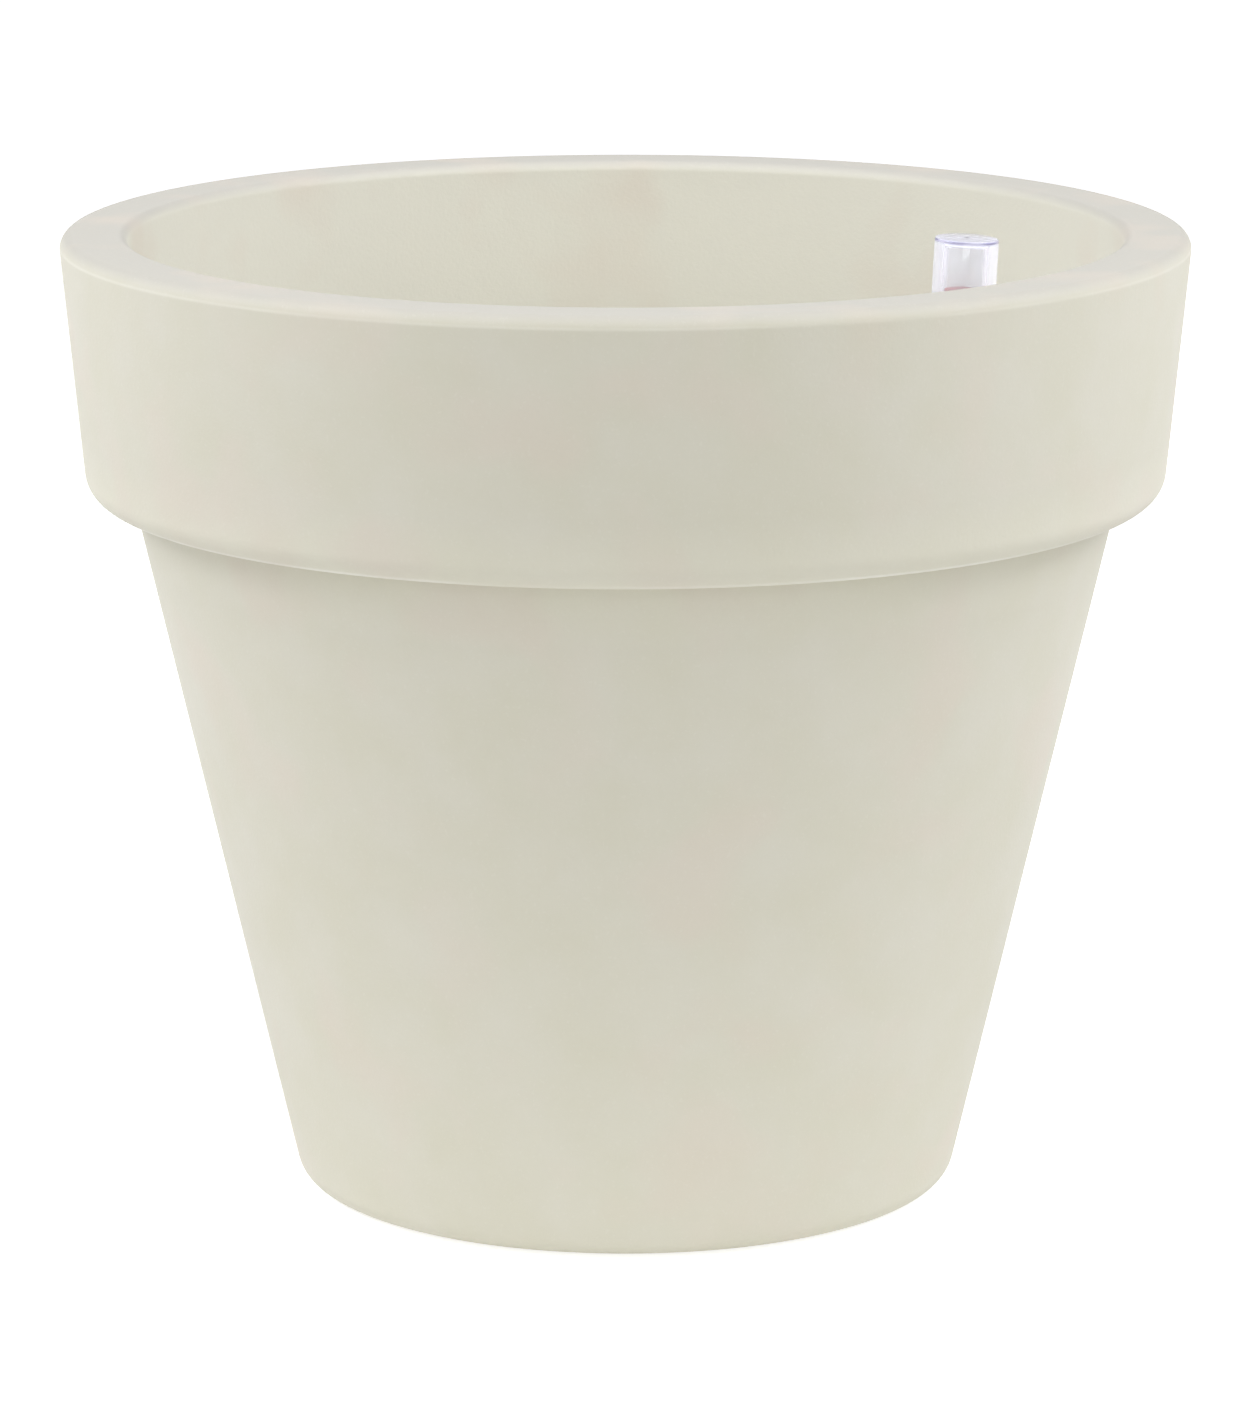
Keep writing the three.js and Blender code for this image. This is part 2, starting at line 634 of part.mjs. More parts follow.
// Clear head: it stands on the tube's collar and lifts off to fill the reservoir
function gaugeCap() {
  const boreR = CAP_R - CAP_WALL;
  return turned(
    [
      [boreR, gaugeLength - CAP_LENGTH],
      [CAP_R, gaugeLength - CAP_LENGTH],
      [CAP_R, gaugeLength - CAP_BEVEL],
      [CAP_R - CAP_BEVEL, gaugeLength],
      [0, gaugeLength],
      [0, gaugeLength - CAP_TOP],
      [boreR, gaugeLength - CAP_TOP],
    ],
    TUBE_SIDES,
  );
}

// Rubber ring between the tube and the tray's sleeve
function tubeGrommet() {
  const boreR = TUBE_R + FIT;
  const bottom = gaugeAtTray - TRAY_PLATE;
  const lipZ = sleeveTop + FIT;
  return turned(
    [
      [boreR, bottom],
      [boreR + GROMMET_WALL, bottom],
      [boreR + GROMMET_WALL, lipZ],
      [boreR + GROMMET_WALL + GROMMET_FLANGE, lipZ],
      [boreR + GROMMET_WALL + GROMMET_FLANGE, lipZ + GROMMET_LIP],
      [boreR, lipZ + GROMMET_LIP],
    ],
    TUBE_SIDES,
  );
}

// Assembly
function piece(name, solid, material, place = [0, 0, 0]) {
  const mesh = new THREE.Mesh(geometryOf(solid), material);
  mesh.name = name;
  mesh.position.set(...place);
  return mesh;
}

const planter = new THREE.Group();
planter.add(piece("pot_shell", potShell(), potPlastic));
planter.add(piece("collar_vent_plug", collarVentPlug(), potPlastic));
planter.add(piece("separator_tray", separatorTray(), insertPlastic));

legPlaces.forEach(({ turn, radius, floorZ }, i) => {
  const name = i < OUTER_LEGS ? `support_leg_outer_${i + 1}` : `support_leg_inner_${i + 1 - OUTER_LEGS}`;
  planter.add(piece(name, supportLeg(floorZ), insertPlastic, [...ringPoint(radius, turn), 0]));
});

basketTurns.forEach((turn, i) => {
  const place = [...ringPoint(BASKET_RING_R, turn), 0];
  planter.add(piece(`wicking_basket_${i + 1}`, wickingBasket(), insertPlastic, place));
});

planter.add(piece("drain_fitting", drainFitting(), drainPlastic));
planter.add(piece("drain_gasket", drainGasket(), rubber));
planter.add(piece("drain_locknut", drainLocknut(), drainPlastic));
planter.add(piece("drain_plug", drainPlug(), drainPlastic));
planter.add(piece("drain_plug_oring", drainPlugOring(), rubber));

const gauge = new THREE.Group();
gauge.position.set(gaugeBaseX, 0, channelZ);
gauge.rotation.y = gaugeLean;
gauge.add(piece("foot_strainer", footStrainer(), tubePlastic));
gauge.add(piece("fill_tube", fillTube(), tubePlastic));
gauge.add(piece("tube_grommet", tubeGrommet(), rubber));
gauge.add(piece("rod_guide", rodGuide(), tubePlastic));
gauge.add(piece("float", floatBody(), floatFoam));
gauge.add(piece("float_rod", floatRod(), rodPlastic));
gauge.add(piece("indicator_disc", indicatorDisc(), indicatorRed));
gauge.add(piece("gauge_cap", gaugeCap(), clearPlastic));
planter.add(gauge);

export default planter;
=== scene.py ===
from functools import partial, partialmethod
from math import atan2, ceil, cos, hypot, pi, radians, sin, tan, tau

import bpy
from mathutils import Matrix, Vector


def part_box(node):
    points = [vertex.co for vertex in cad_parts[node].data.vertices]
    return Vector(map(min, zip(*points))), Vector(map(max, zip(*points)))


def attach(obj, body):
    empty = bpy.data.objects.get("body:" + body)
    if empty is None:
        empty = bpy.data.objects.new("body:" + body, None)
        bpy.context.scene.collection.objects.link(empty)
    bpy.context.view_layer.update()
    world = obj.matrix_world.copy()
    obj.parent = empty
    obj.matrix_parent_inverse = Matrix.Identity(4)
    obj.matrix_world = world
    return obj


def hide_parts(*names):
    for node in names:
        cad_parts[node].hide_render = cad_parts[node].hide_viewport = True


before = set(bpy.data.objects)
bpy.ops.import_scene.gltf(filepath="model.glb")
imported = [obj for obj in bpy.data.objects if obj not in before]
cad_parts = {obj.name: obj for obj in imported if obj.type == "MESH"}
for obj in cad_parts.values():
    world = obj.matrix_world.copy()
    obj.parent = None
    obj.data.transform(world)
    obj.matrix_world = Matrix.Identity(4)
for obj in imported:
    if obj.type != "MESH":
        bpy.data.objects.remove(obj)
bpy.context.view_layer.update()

# Camera, paper floor and lamps.
# The camera stands where a fit to the photograph's outline puts it: about 3 m in front of the pot,
# looking 12 degrees down through a long lens, with the pot's axis a little right of the middle. Near
# the pot the paper glows and lights the pot from below, though it is no lamp; to the eye it glows
# less there, so that its shadow shows. The lamps beside and behind are cooler.
PICTURE_HEIGHT = 1417
FOCAL_PIXELS = 7006
AXIS_RIGHT_PIXELS = 5.5
SENSOR_MM = 36
CAMERA_PLACE = (0, -3.070, 0.878)
CAMERA_DOWN = radians(12.22)
FLOOR_HALF = 8
FLOOR_BACK = 2
FLOOR_Z = -0.0003
PAPER_WHITE = 0.6
PAPER_GLOW = 0.345
PAPER_SHINE = 0.335
NEAR_POT = 0.45
AWAY_FROM_POT = 0.7
SOFTBOX = 1.6
COOL = (0.92, 0.925, 1)
NEUTRAL = (1, 1, 1)
LAMPS = {
    "left_high_softbox": ((-2.0, -0.3, 2.2), 43, COOL),
    "right_high_softbox": ((2.0, -0.3, 2.2), 42, COOL),
    "left_front_softbox": ((-1.7, -1.6, 1.6), 19, NEUTRAL),
    "right_front_softbox": ((1.7, -1.6, 1.6), 19, NEUTRAL),
    "left_back_softbox": ((-2.0, 1.0, 1.4), 9.4, COOL),
    "right_back_softbox": ((2.0, 1.0, 1.4), 9.4, COOL),
    "camera_softbox": ((0, -3.3, 1.2), 12, NEUTRAL),
}
LAMPS_AIM = Vector((0, 0, 0.25))

scene = bpy.context.scene
scene.view_settings.view_transform = "Standard"


def link(item):
    scene.collection.objects.link(item)
    return item


camera = link(bpy.data.objects.new("camera", bpy.data.cameras.new("camera")))
camera.location = CAMERA_PLACE
camera.rotation_euler = (pi / 2 - CAMERA_DOWN, 0, 0)
camera.data.sensor_width = SENSOR_MM
camera.data.lens = SENSOR_MM * FOCAL_PIXELS / PICTURE_HEIGHT
camera.data.shift_x = -AXIS_RIGHT_PIXELS / PICTURE_HEIGHT
scene.camera = camera


def linear(share):
    return share / 12.92 if share <= 0.04045 else ((share + 0.055) / 1.055) ** 2.4


def colour(red, green, blue):
    """A colour in the 0 to 255 steps of a screen, as the linear values that a shader takes."""
    return (linear(red / 255), linear(green / 255), linear(blue / 255), 1)


class Flow:
    """What flows from one output of a node. A sum that is written with it becomes a math node."""

    def __init__(self, tree, socket):
        self.tree = tree
        self.socket = socket

    def math(self, operation, second=0.0):
        return flow(self.tree, "ShaderNodeMath", {0: self, 1: second}, operation=operation)

    def math_after(self, operation, first):
        return flow(self.tree, "ShaderNodeMath", {0: first, 1: self}, operation=operation)

    __add__ = partialmethod(math, "ADD")
    __sub__ = partialmethod(math, "SUBTRACT")
    __mul__ = partialmethod(math, "MULTIPLY")
    __truediv__ = partialmethod(math, "DIVIDE")
    __rsub__ = partialmethod(math_after, "SUBTRACT")
    __rtruediv__ = partialmethod(math_after, "DIVIDE")


def node(tree, kind, given=None, **settings):
    """A new node, with its inputs linked to what flows from other nodes or set to plain values."""
    made = tree.nodes.new(kind)
    for name, value in settings.items():
        setattr(made, name, value)
    for socket, value in (given or {}).items():
        if isinstance(value, Flow):
            tree.links.new(value.socket, made.inputs[socket])
        else:
            made.inputs[socket].default_value = value
    return made


def flow(tree, kind, given=None, output=0, **settings):
    """What flows from one output of a new node."""
    return Flow(tree, node(tree, kind, given, **settings).outputs[output])


def flows(tree, kind, given=None, **settings):
    """What flows from each output of a new node, by the outputs' names."""
    return {socket.name: Flow(tree, socket) for socket in node(tree, kind, given, **settings).outputs}


def bare_tree(owner):
    """The emptied node tree of a material or a world."""
    owner.use_nodes = True
    owner.node_tree.nodes.clear()
    return owner.node_tree


def seen_rays(tree):
    """1 for the rays that look at the backdrop: straight, in a gloss or through the clear head."""
    rays = flows(tree, "ShaderNodeLightPath")
    looks = rays["Is Camera Ray"].math("MAXIMUM", rays["Is Glossy Ray"])
    return looks.math("MAXIMUM", rays["Is Transmission Ray"])


def mixed(share, first, second):
    return flow(share.tree, "ShaderNodeMixShader", {0: share, 1: first, 2: second})


def surfaced(material, shader):
    node(shader.tree, "ShaderNodeOutputMaterial", {"Surface": shader})
    return material


def white_paper():
    """White paper: it glows near the pot, though it is no lamp, and lights the pot from below; it takes
    the pot's shadow, stays white to the eye far away, and is clear from below.
    """
    material = bpy.data.materials.new("white paper")
    material.cycles.emission_sampling = "NONE"
    tree = bare_tree(material)
    lit = flow(tree, "ShaderNodeBsdfDiffuse", {"Color": (PAPER_WHITE, PAPER_WHITE, PAPER_WHITE, 1)})
    place = flow(tree, "ShaderNodeTexCoord", output="Object")
    far = flow(tree, "ShaderNodeVectorMath", {0: place}, "Value", operation="LENGTH")
    ramp = {"Value": far, "From Min": AWAY_FROM_POT, "From Max": NEAR_POT}
    near = flow(tree, "ShaderNodeMapRange", ramp, interpolation_type="SMOOTHSTEP")
    # Near the pot the paper glows for every ray and lights the pot from below; to the eye it glows less
    # there.
    strength = seen_rays(tree) * (near * (PAPER_SHINE - 1) + 1) + near * PAPER_GLOW
    glow = flow(tree, "ShaderNodeEmission", {"Strength": strength})
    paper = flow(tree, "ShaderNodeAddShader", {0: lit, 1: glow})
    behind = flow(tree, "ShaderNodeNewGeometry", output="Backfacing")
    looked_at = flow(tree, "ShaderNodeLightPath", output="Is Camera Ray")
    clear = flow(tree, "ShaderNodeBsdfTransparent")
    return surfaced(material, mixed(behind * looked_at, paper, clear))


# The sheet lies a little further back, because the seam between its two triangles would show on the foot.
floor_corners = [
    (x * FLOOR_HALF, y * FLOOR_HALF + FLOOR_BACK, FLOOR_Z) for x, y in ((-1, -1), (1, -1), (1, 1), (-1, 1))
]
floor_mesh = bpy.data.meshes.new("paper_floor")
floor_mesh.from_pydata(floor_corners, [], [(0, 1, 2, 3)])
floor_mesh.materials.append(white_paper())
link(bpy.data.objects.new("paper_floor", floor_mesh))

world = bpy.data.worlds.new("white room")
room = bare_tree(world)
background = flow(room, "ShaderNodeBackground", {"Strength": seen_rays(room)})
node(room, "ShaderNodeOutputWorld", {"Surface": background})
scene.world = world

for name, (place, power, light) in LAMPS.items():
    lamp = link(bpy.data.objects.new(name, bpy.data.lights.new(name, "AREA")))
    lamp.data.size = SOFTBOX
    lamp.data.energy = power
    lamp.data.color = light
    lamp.location = place
    lamp.rotation_euler = (LAMPS_AIM - Vector(place)).to_track_quat("-Z", "Y").to_euler()

# Pot.
# One rotomoulded shell of ivory polyethylene, a single skin below and doubled in the deep collar,
# with a flat rim, soft roundings where the tool let the powder run, and a recess under its floor.
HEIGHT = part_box("pot_shell")[1].z
RIM_R = 0.250
RIM_WIDTH = 0.0305
RIM_OUTER_ROUND = 0.006
RIM_INNER_ROUND = 0.005
COLLAR_DEPTH = 0.117
COLLAR_FLARE = 0.0112
COLLAR_STEP = 0.0201
COLLAR_ROUND = 0.0125
COLLAR_WALL = 0.006
UNDER_COLLAR_FILLET = 0.003
INNER_BEND = 0.12
BASE_R = 0.1462
FOOT_ROUND = 0.013
FOOT_RING_WIDTH = 0.0462
WALL = 0.006
RECESS_DEPTH = 0.012
RECESS_RUN = 0.010
FLOOR_FILLET = 0.004
HOLLOW_FILLET = 0.004
DRAIN_HOLE_R = 0.0145
DRAIN_HOLE_ROUND = 0.0015
VENT_R = 0.0025
RIM_HIGHLIGHT = 0.0009
COLLAR_HIGHLIGHT = 0.0014
HIGHLIGHT_BREAKS = 0.12
WARM_PATCHES = 0.06
COLLAR_PAINTED_LIGHT_REACH = 0.03
POT_SIDES = 256
ROUND_SIDES = 96
SMALL_SIDES = 24
ARC_STEP = radians(9)
SMALL_ARC_STEP = radians(30)
SMALL_ROUND = 0.002
SHARP_EDGE = radians(32)
MERGE_WITHIN = 1e-6

collar_z = HEIGHT - COLLAR_DEPTH
collar_bottom_r = RIM_R - COLLAR_FLARE
cone_top_r = collar_bottom_r - COLLAR_STEP
cone_lean = atan2(cone_top_r - BASE_R, collar_z)
collar_lean = atan2(COLLAR_FLARE, COLLAR_DEPTH)
inner_top_r = RIM_R - RIM_WIDTH
recess_r = BASE_R - FOOT_RING_WIDTH
channel_inner_r = recess_r + WALL
raised_floor_z = RECESS_DEPTH + WALL


def inner_cone_r(z):
    return BASE_R + z * tan(cone_lean) - WALL / cos(cone_lean)


def collar_face_r(z):
    return collar_bottom_r + (z - collar_z) * tan(collar_lean)


inner_wall_lean = atan2(inner_top_r - inner_cone_r(collar_z), COLLAR_DEPTH)


def inner_wall_r(z):
    return inner_top_r - (HEIGHT - z) * tan(inner_wall_lean)


def rounded(corners):
    """The points of a profile through (radius, height) corners. A third value rounds its corner."""
    points = []
    for i, (r, z, *arc) in enumerate(corners):
        corner = Vector((r, z))
        if not any(arc):
            points.append(corner)
            continue
        rounding = arc[0]
        back = (Vector(corners[i - 1][:2]) - corner).normalized()
        ahead = (Vector(corners[(i + 1) % len(corners)][:2]) - corner).normalized()
        half = back.angle(ahead) / 2
        centre = corner + (back + ahead).normalized() * rounding / sin(half)
        start = corner + back * rounding / tan(half) - centre
        left = 1 if back.cross(ahead) < 0 else -1
        sweep = left * (pi - 2 * half)
        fine = ARC_STEP if rounding > SMALL_ROUND else SMALL_ARC_STEP
        steps = max(2, ceil(abs(sweep) / fine))
        first = atan2(start.y, start.x)
        for step in range(steps + 1):
            angle = first + sweep * step / steps
            points.append(centre + Vector((cos(angle), sin(angle))) * rounding)
    return points


def new_group(name, kind, inputs, results):
    """An empty node group with named inputs and outputs, and what flows from its inputs."""
    tree = bpy.data.node_groups.new(name, kind + "NodeTree")
    for in_out, sockets in (("INPUT", inputs), ("OUTPUT", results)):
        for socket, socket_kind in sockets.items():
            tree.interface.new_socket(socket, in_out=in_out, socket_type="NodeSocket" + socket_kind)
    return tree, flows(tree, "NodeGroupInput")


def xyz_of(vector):
    return flows(vector.tree, "ShaderNodeSeparateXYZ", {0: vector})


def shaping(name, inputs):
    """A new group that shapes a mesh into a piece of one material."""
    return new_group(name, "Geometry", inputs | {"Material": "Material"}, {"Piece": "Geometry"})


def finish_tree(tree, mesh, material):
    """The end of each shaping group: smooth faces that meet in sharp edges, in one plain mesh."""
    smooth = flow(tree, "GeometryNodeSetShadeSmooth", {0: mesh, "Shade Smooth": True})
    angle = flow(tree, "GeometryNodeInputMeshEdgeAngle", output="Unsigned Angle")
    soft = flow(tree, "FunctionNodeCompare", {0: angle, 1: SHARP_EDGE}, operation="LESS_THAN")
    edged = flow(tree, "GeometryNodeSetShadeSmooth", {0: smooth, "Shade Smooth": soft}, domain="EDGE")
    real = flow(tree, "GeometryNodeRealizeInstances", {0: edged})
    done = flow(tree, "GeometryNodeSetMaterial", {0: real, "Material": material})
    node(tree, "NodeGroupOutput", {"Piece": done})
    return tree


def turning():
    """Sweeps a profile's points once round the z axis."""
    tree, given = shaping("Turned on the axis", {"Profile": "Geometry", "Sides": "Int", "Closed": "Int"})
    count = flow(tree, "GeometryNodeAttributeDomainSize", {0: given["Profile"]}, "Point Count")
    steps = count + (given["Closed"] - 1)
    rows = {"Vertices X": given["Sides"] + 1, "Vertices Y": steps + 1}
    grid = flow(tree, "GeometryNodeMeshGrid", {"Size X": 1, "Size Y": 1} | rows, "Mesh")
    place = flow(tree, "GeometryNodeInputPosition")
    across = xyz_of(place)
    turn = (across["X"] + 0.5) * tau
    step = ((across["Y"] + 0.5) * steps).math("ROUND")
    sample = {"Geometry": given["Profile"], "Value": place, "Index": step.math("MODULO", count)}
    profile = xyz_of(flow(tree, "GeometryNodeSampleIndex", sample, data_type="FLOAT_VECTOR"))
    x = profile["X"] * turn.math("COSINE")
    y = profile["X"] * turn.math("SINE")
    swept = flow(tree, "ShaderNodeCombineXYZ", {0: x, 1: y, 2: profile["Z"]})
    wall = flow(tree, "GeometryNodeSetPosition", {0: grid, "Position": swept})
    merged = flow(tree, "GeometryNodeMergeByDistance", {0: wall, "Distance": MERGE_WITHIN})
    return finish_tree(tree, merged, given["Material"])


turning_tree = turning()


def settled(piece, tree, **values):
    """Runs a shaping group on a piece once and leaves the result as its plain mesh."""
    modifier = piece.modifiers.new(tree.name, "NODES")
    modifier.node_group = tree
    for socket in tree.interface.items_tree:
        if socket.in_out == "INPUT" and values.get(socket.name) is not None:
            modifier[socket.identifier] = values[socket.name]
    graph = bpy.context.evaluated_depsgraph_get()
    result = bpy.data.meshes.new_from_object(piece.evaluated_get(graph), depsgraph=graph)
    result.materials.clear()
    result.materials.append(values["Material"])
    piece.modifiers.remove(modifier)
    piece.data = result
    return piece


def turned(name, *corners, sides=ROUND_SIDES, material=None):
    """A turned piece. Its profile runs counter-clockwise, and starts and ends on the axis or closes."""
    points = bpy.data.meshes.new(name)
    points.from_pydata([(r, 0, z) for r, z in rounded(corners)], [], [])
    piece = link(bpy.data.objects.new(name, points))
    return settled(piece, turning_tree, Sides=sides, Closed=int(corners[0][0] > 0), Material=material)


def rod(name, radius, low, high, sides=ROUND_SIDES, material=None):
    corners = [(0, low), (radius, low), (radius, high), (0, high)]
    return turned(name, *corners, sides=sides, material=material)


def combining(operation):
    """Sets copies of a part at a list of places and joins them to a body, or cuts them out of it."""
    inputs = {"Body": "Geometry", "Part": "Object", "Places": "Object"}
    tree, given = shaping(operation.capitalize() + " of copies", inputs)
    part = flow(tree, "GeometryNodeObjectInfo", {"Object": given["Part"]}, "Geometry")
    places = flow(tree, "GeometryNodeObjectInfo", {"Object": given["Places"]}, "Geometry")
    turn = flow(tree, "GeometryNodeInputNamedAttribute", {"Name": "turn"}, data_type="FLOAT")
    rotation = flow(tree, "ShaderNodeCombineXYZ", {2: turn})
    on_places = {"Points": places, "Instance": part, "Rotation": rotation}
    copies = flow(tree, "GeometryNodeInstanceOnPoints", on_places)
    real = flow(tree, "GeometryNodeRealizeInstances", {0: copies})
    boolean = node(tree, "GeometryNodeMeshBoolean", operation=operation, solver="MANIFOLD")
    tree.links.new(given["Body"].socket, boolean.inputs[0 if operation == "DIFFERENCE" else 1])
    tree.links.new(real.socket, boolean.inputs[1])
    return finish_tree(tree, Flow(tree, boolean.outputs["Mesh"]), given["Material"])


combining_trees = {operation: combining(operation) for operation in ("UNION", "DIFFERENCE", "INTERSECT")}


def combined(operation, body, part, places=((0, 0, 0, 0),)):
    """The body with copies of the part joined to it or cut out of it, each at its (x, y, z, turn)."""
    points = bpy.data.meshes.new("places")
    points.from_pydata([place[:3] for place in places], [], [])
    turns = points.attributes.new("turn", "FLOAT", "POINT")
    turns.data.foreach_set("value", [place[3] for place in places])
    spots = link(bpy.data.objects.new("places", points))
    material = body.data.materials[0]
    settled(body, combining_trees[operation], Part=part, Places=spots, Material=material)
    for spent in (part, spots):
        bpy.data.objects.remove(spent)
    return body


joined = partial(combined, "UNION")
cut = partial(combined, "DIFFERENCE")
kept = partial(combined, "INTERSECT")


def moved(piece, matrix):
    """The piece with a place or a lean put into its mesh."""
    piece.data.transform(matrix)
    return piece


def fitted(piece, stands_for, body):
    """The piece stands for its node of the frame and moves with its body."""
    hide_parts(stands_for)
    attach(piece, body)
    return piece


def noise(place, size, detail=2.0, roughness=0.5):
    """Cloudy values about 0.5 whose patches are as wide as the size says."""
    given = {"Vector": place, "Scale": 1 / size, "Detail": detail, "Roughness": roughness}
    return flow(place.tree, "ShaderNodeTexNoise", given)


def stretched(value, low, high):
    """A value's range from low to high, stretched to 0 to 1."""
    given = {"Value": value, "From Min": low, "From Max": high}
    return flow(value.tree, "ShaderNodeMapRange", given, clamp=True)


def moulded_skin():
    """Skin of moulded plastic: wide clouds of tone, fine grain, and sparse specks of pigment."""
    inputs = {"Place": "Vector", "Cloud size": "Float", "Grain size": "Float"}
    masks = dict.fromkeys(("Clouds", "Grain", "Specks"), "Float")
    tree, given = new_group("Moulded skin", "Shader", inputs, masks)
    place = given["Place"]
    clouds = stretched(noise(place, given["Cloud size"], 3.0), 0.3, 0.7)
    grain = noise(place, given["Grain size"], 3.0, 0.65)
    specks = stretched(noise(place, given["Grain size"] * 0.8, 0.0), 0.7, 0.78)
    node(tree, "NodeGroupOutput", {"Clouds": clouds, "Grain": grain, "Specks": specks})
    return tree


skin_group = moulded_skin()


def skin_of(place, clouds, grain):
    given = {"Place": place, "Cloud size": clouds, "Grain size": grain}
    return flows(place.tree, "ShaderNodeGroup", given, node_tree=skin_group)


def blended(share, first, second):
    given = {"Factor": share, 6: first, 7: second}
    return flow(share.tree, "ShaderNodeMix", given, 2, data_type="RGBA")


def painted(tone, *layers):
    """A tone with further colours laid over it, each by its share."""
    for share, paint in layers:
        tone = blended(share, tone, paint)
    return tone


def bumped(height, depth, strength=0.5):
    given = {"Height": height, "Distance": depth, "Strength": strength}
    return flow(height.tree, "ShaderNodeBump", given)


def new_material(name):
    """A bare material, and the object coordinates that its patterns lie on."""
    material = bpy.data.materials.new(name)
    return material, flow(bare_tree(material), "ShaderNodeTexCoord", output="Object")


def principled(tree, **sockets):
    """A Principled shader whose sockets are linked or set, with Base_Color for Base Color and so on."""
    given = {name.replace("_", " "): value for name, value in sockets.items()}
    return flow(tree, "ShaderNodeBsdfPrincipled", given)


def painted_highlight_line(place, line_z, half_width):
    """A thin painted highlight along one height, broken in patches, where an edge catches the light."""
    off = (xyz_of(place)["Z"] - line_z).math("ABSOLUTE")
    patches = stretched(noise(place, HIGHLIGHT_BREAKS), 0.32, 0.5)
    return stretched(off, half_width, half_width / 4) * patches


def ivory_polyethylene():
    """Matte ivory in faint clouds and specks; painted light paler inside and at the collar's edge, painted
    shade greyer on top.
    """
    material, place = new_material("ivory polyethylene")
    tree = place.tree
    skin = skin_of(place, clouds=0.035, grain=0.0018)
    facing = flow(tree, "ShaderNodeTexCoord", output="Normal")
    level = flow(tree, "ShaderNodeVectorMath", {0: place, 1: (1, 1, 0)}, operation="MULTIPLY")
    outwards = flow(tree, "ShaderNodeVectorMath", {0: level}, operation="NORMALIZE")
    away = flow(tree, "ShaderNodeVectorMath", {0: facing, 1: outwards}, "Value", operation="DOT_PRODUCT")
    # Painted shade on faces that look up, such as the rim.
    top = stretched(xyz_of(facing)["Z"], 0.3, 0.9)
    # Painted light: within a few centimetres above and below the collar's lower edge the ivory turns
    # paler.
    edge = stretched((xyz_of(place)["Z"] - collar_z).math("ABSOLUTE"), COLLAR_PAINTED_LIGHT_REACH, 0.0)
    # Painted highlights: thin pale lines along the collar's lower edge and the rim's outer rounding.
    collar_highlight = painted_highlight_line(place, collar_z + COLLAR_HIGHLIGHT, COLLAR_HIGHLIGHT)
    rim_highlight = painted_highlight_line(place, HEIGHT - RIM_OUTER_ROUND + RIM_HIGHLIGHT, RIM_HIGHLIGHT)
    warm = stretched(noise(place, WARM_PATCHES), 0.52, 0.68)
    tone = painted(
        blended(skin["Clouds"], colour(223, 220, 200), colour(226, 223, 206)),
        # Painted light by the collar's lower edge.
        (edge * 0.6, colour(238, 235, 214)),
        # Painted highlight lines.
        (collar_highlight.math("MAXIMUM", rim_highlight * 0.35), colour(247, 245, 231)),
        # Painted light: faces that look in towards the axis, inside the pot, are paler.
        (stretched(away, 0.2, -0.2), colour(233, 231, 216)),
        # Painted shade: faces that look up are greyer.
        (top * 0.8, colour(209, 206, 195)),
        (warm * 0.5, colour(229, 219, 203)),
        (skin["Grain"] * 0.1, colour(205, 201, 182)),
        (skin["Specks"] * 0.1, colour(240, 238, 226)),
    )
    gloss = skin["Grain"] * 0.12 + 0.5
    bump = bumped(skin["Grain"], depth=0.00025)
    shader = principled(tree, Base_Color=tone, Roughness=gloss, Normal=bump, Specular_IOR_Level=0.3)
    return surfaced(material, shader)


ivory = ivory_polyethylene()
pot = turned(
    "moulded_pot",
    (DRAIN_HOLE_R, RECESS_DEPTH, DRAIN_HOLE_ROUND),
    (recess_r - RECESS_RUN, RECESS_DEPTH, FLOOR_FILLET),
    (recess_r, 0, FLOOR_FILLET),
    (BASE_R, 0, FOOT_ROUND),
    (cone_top_r, collar_z, UNDER_COLLAR_FILLET),
    (collar_bottom_r, collar_z, COLLAR_ROUND),
    (RIM_R, HEIGHT, RIM_OUTER_ROUND),
    (inner_top_r, HEIGHT, RIM_INNER_ROUND),
    (inner_cone_r(collar_z), collar_z, INNER_BEND),
    (inner_cone_r(WALL), WALL, FOOT_ROUND - WALL),
    (channel_inner_r, WALL, FLOOR_FILLET),
    (channel_inner_r - RECESS_RUN, raised_floor_z, FLOOR_FILLET),
    (DRAIN_HOLE_R, raised_floor_z, DRAIN_HOLE_ROUND),
    sides=POT_SIDES,
    material=ivory,
)
hollow_z = collar_z + COLLAR_WALL
hollow_top_z = HEIGHT - COLLAR_WALL
collar_hollow = turned(
    "collar_hollow",
    (inner_wall_r(hollow_z) + COLLAR_WALL, hollow_z, HOLLOW_FILLET),
    (collar_face_r(hollow_z) - COLLAR_WALL, hollow_z, COLLAR_ROUND - COLLAR_WALL),
    (collar_face_r(hollow_top_z) - COLLAR_WALL, hollow_top_z, HOLLOW_FILLET),
    (inner_wall_r(hollow_top_z) + COLLAR_WALL, hollow_top_z, HOLLOW_FILLET),
    sides=POT_SIDES,
)
cut(pot, collar_hollow)
collar_arc_r = collar_bottom_r + COLLAR_ROUND * (tan(collar_lean) - 1 / cos(collar_lean))
vent_place = Matrix.Translation((0, (cone_top_r + collar_arc_r) / 2, 0))
cut(pot, moved(rod("vent_bore", VENT_R, collar_z - WALL, hollow_z + WALL, SMALL_SIDES), vent_place))
fitted(pot, "pot_shell", "pot")

# Collar vent plug.
# A small ivory plug pushed up into the hole that lets the collar's hollow breathe while it is moulded.
# Its flat head lies against the underside of the collar, at the back of the pot.
VENT_HEAD_R = 0.0034
VENT_HEAD = 0.0015
VENT_STEM = 0.009
FIT = 0.0003
EDGE_ROUND = 0.0005

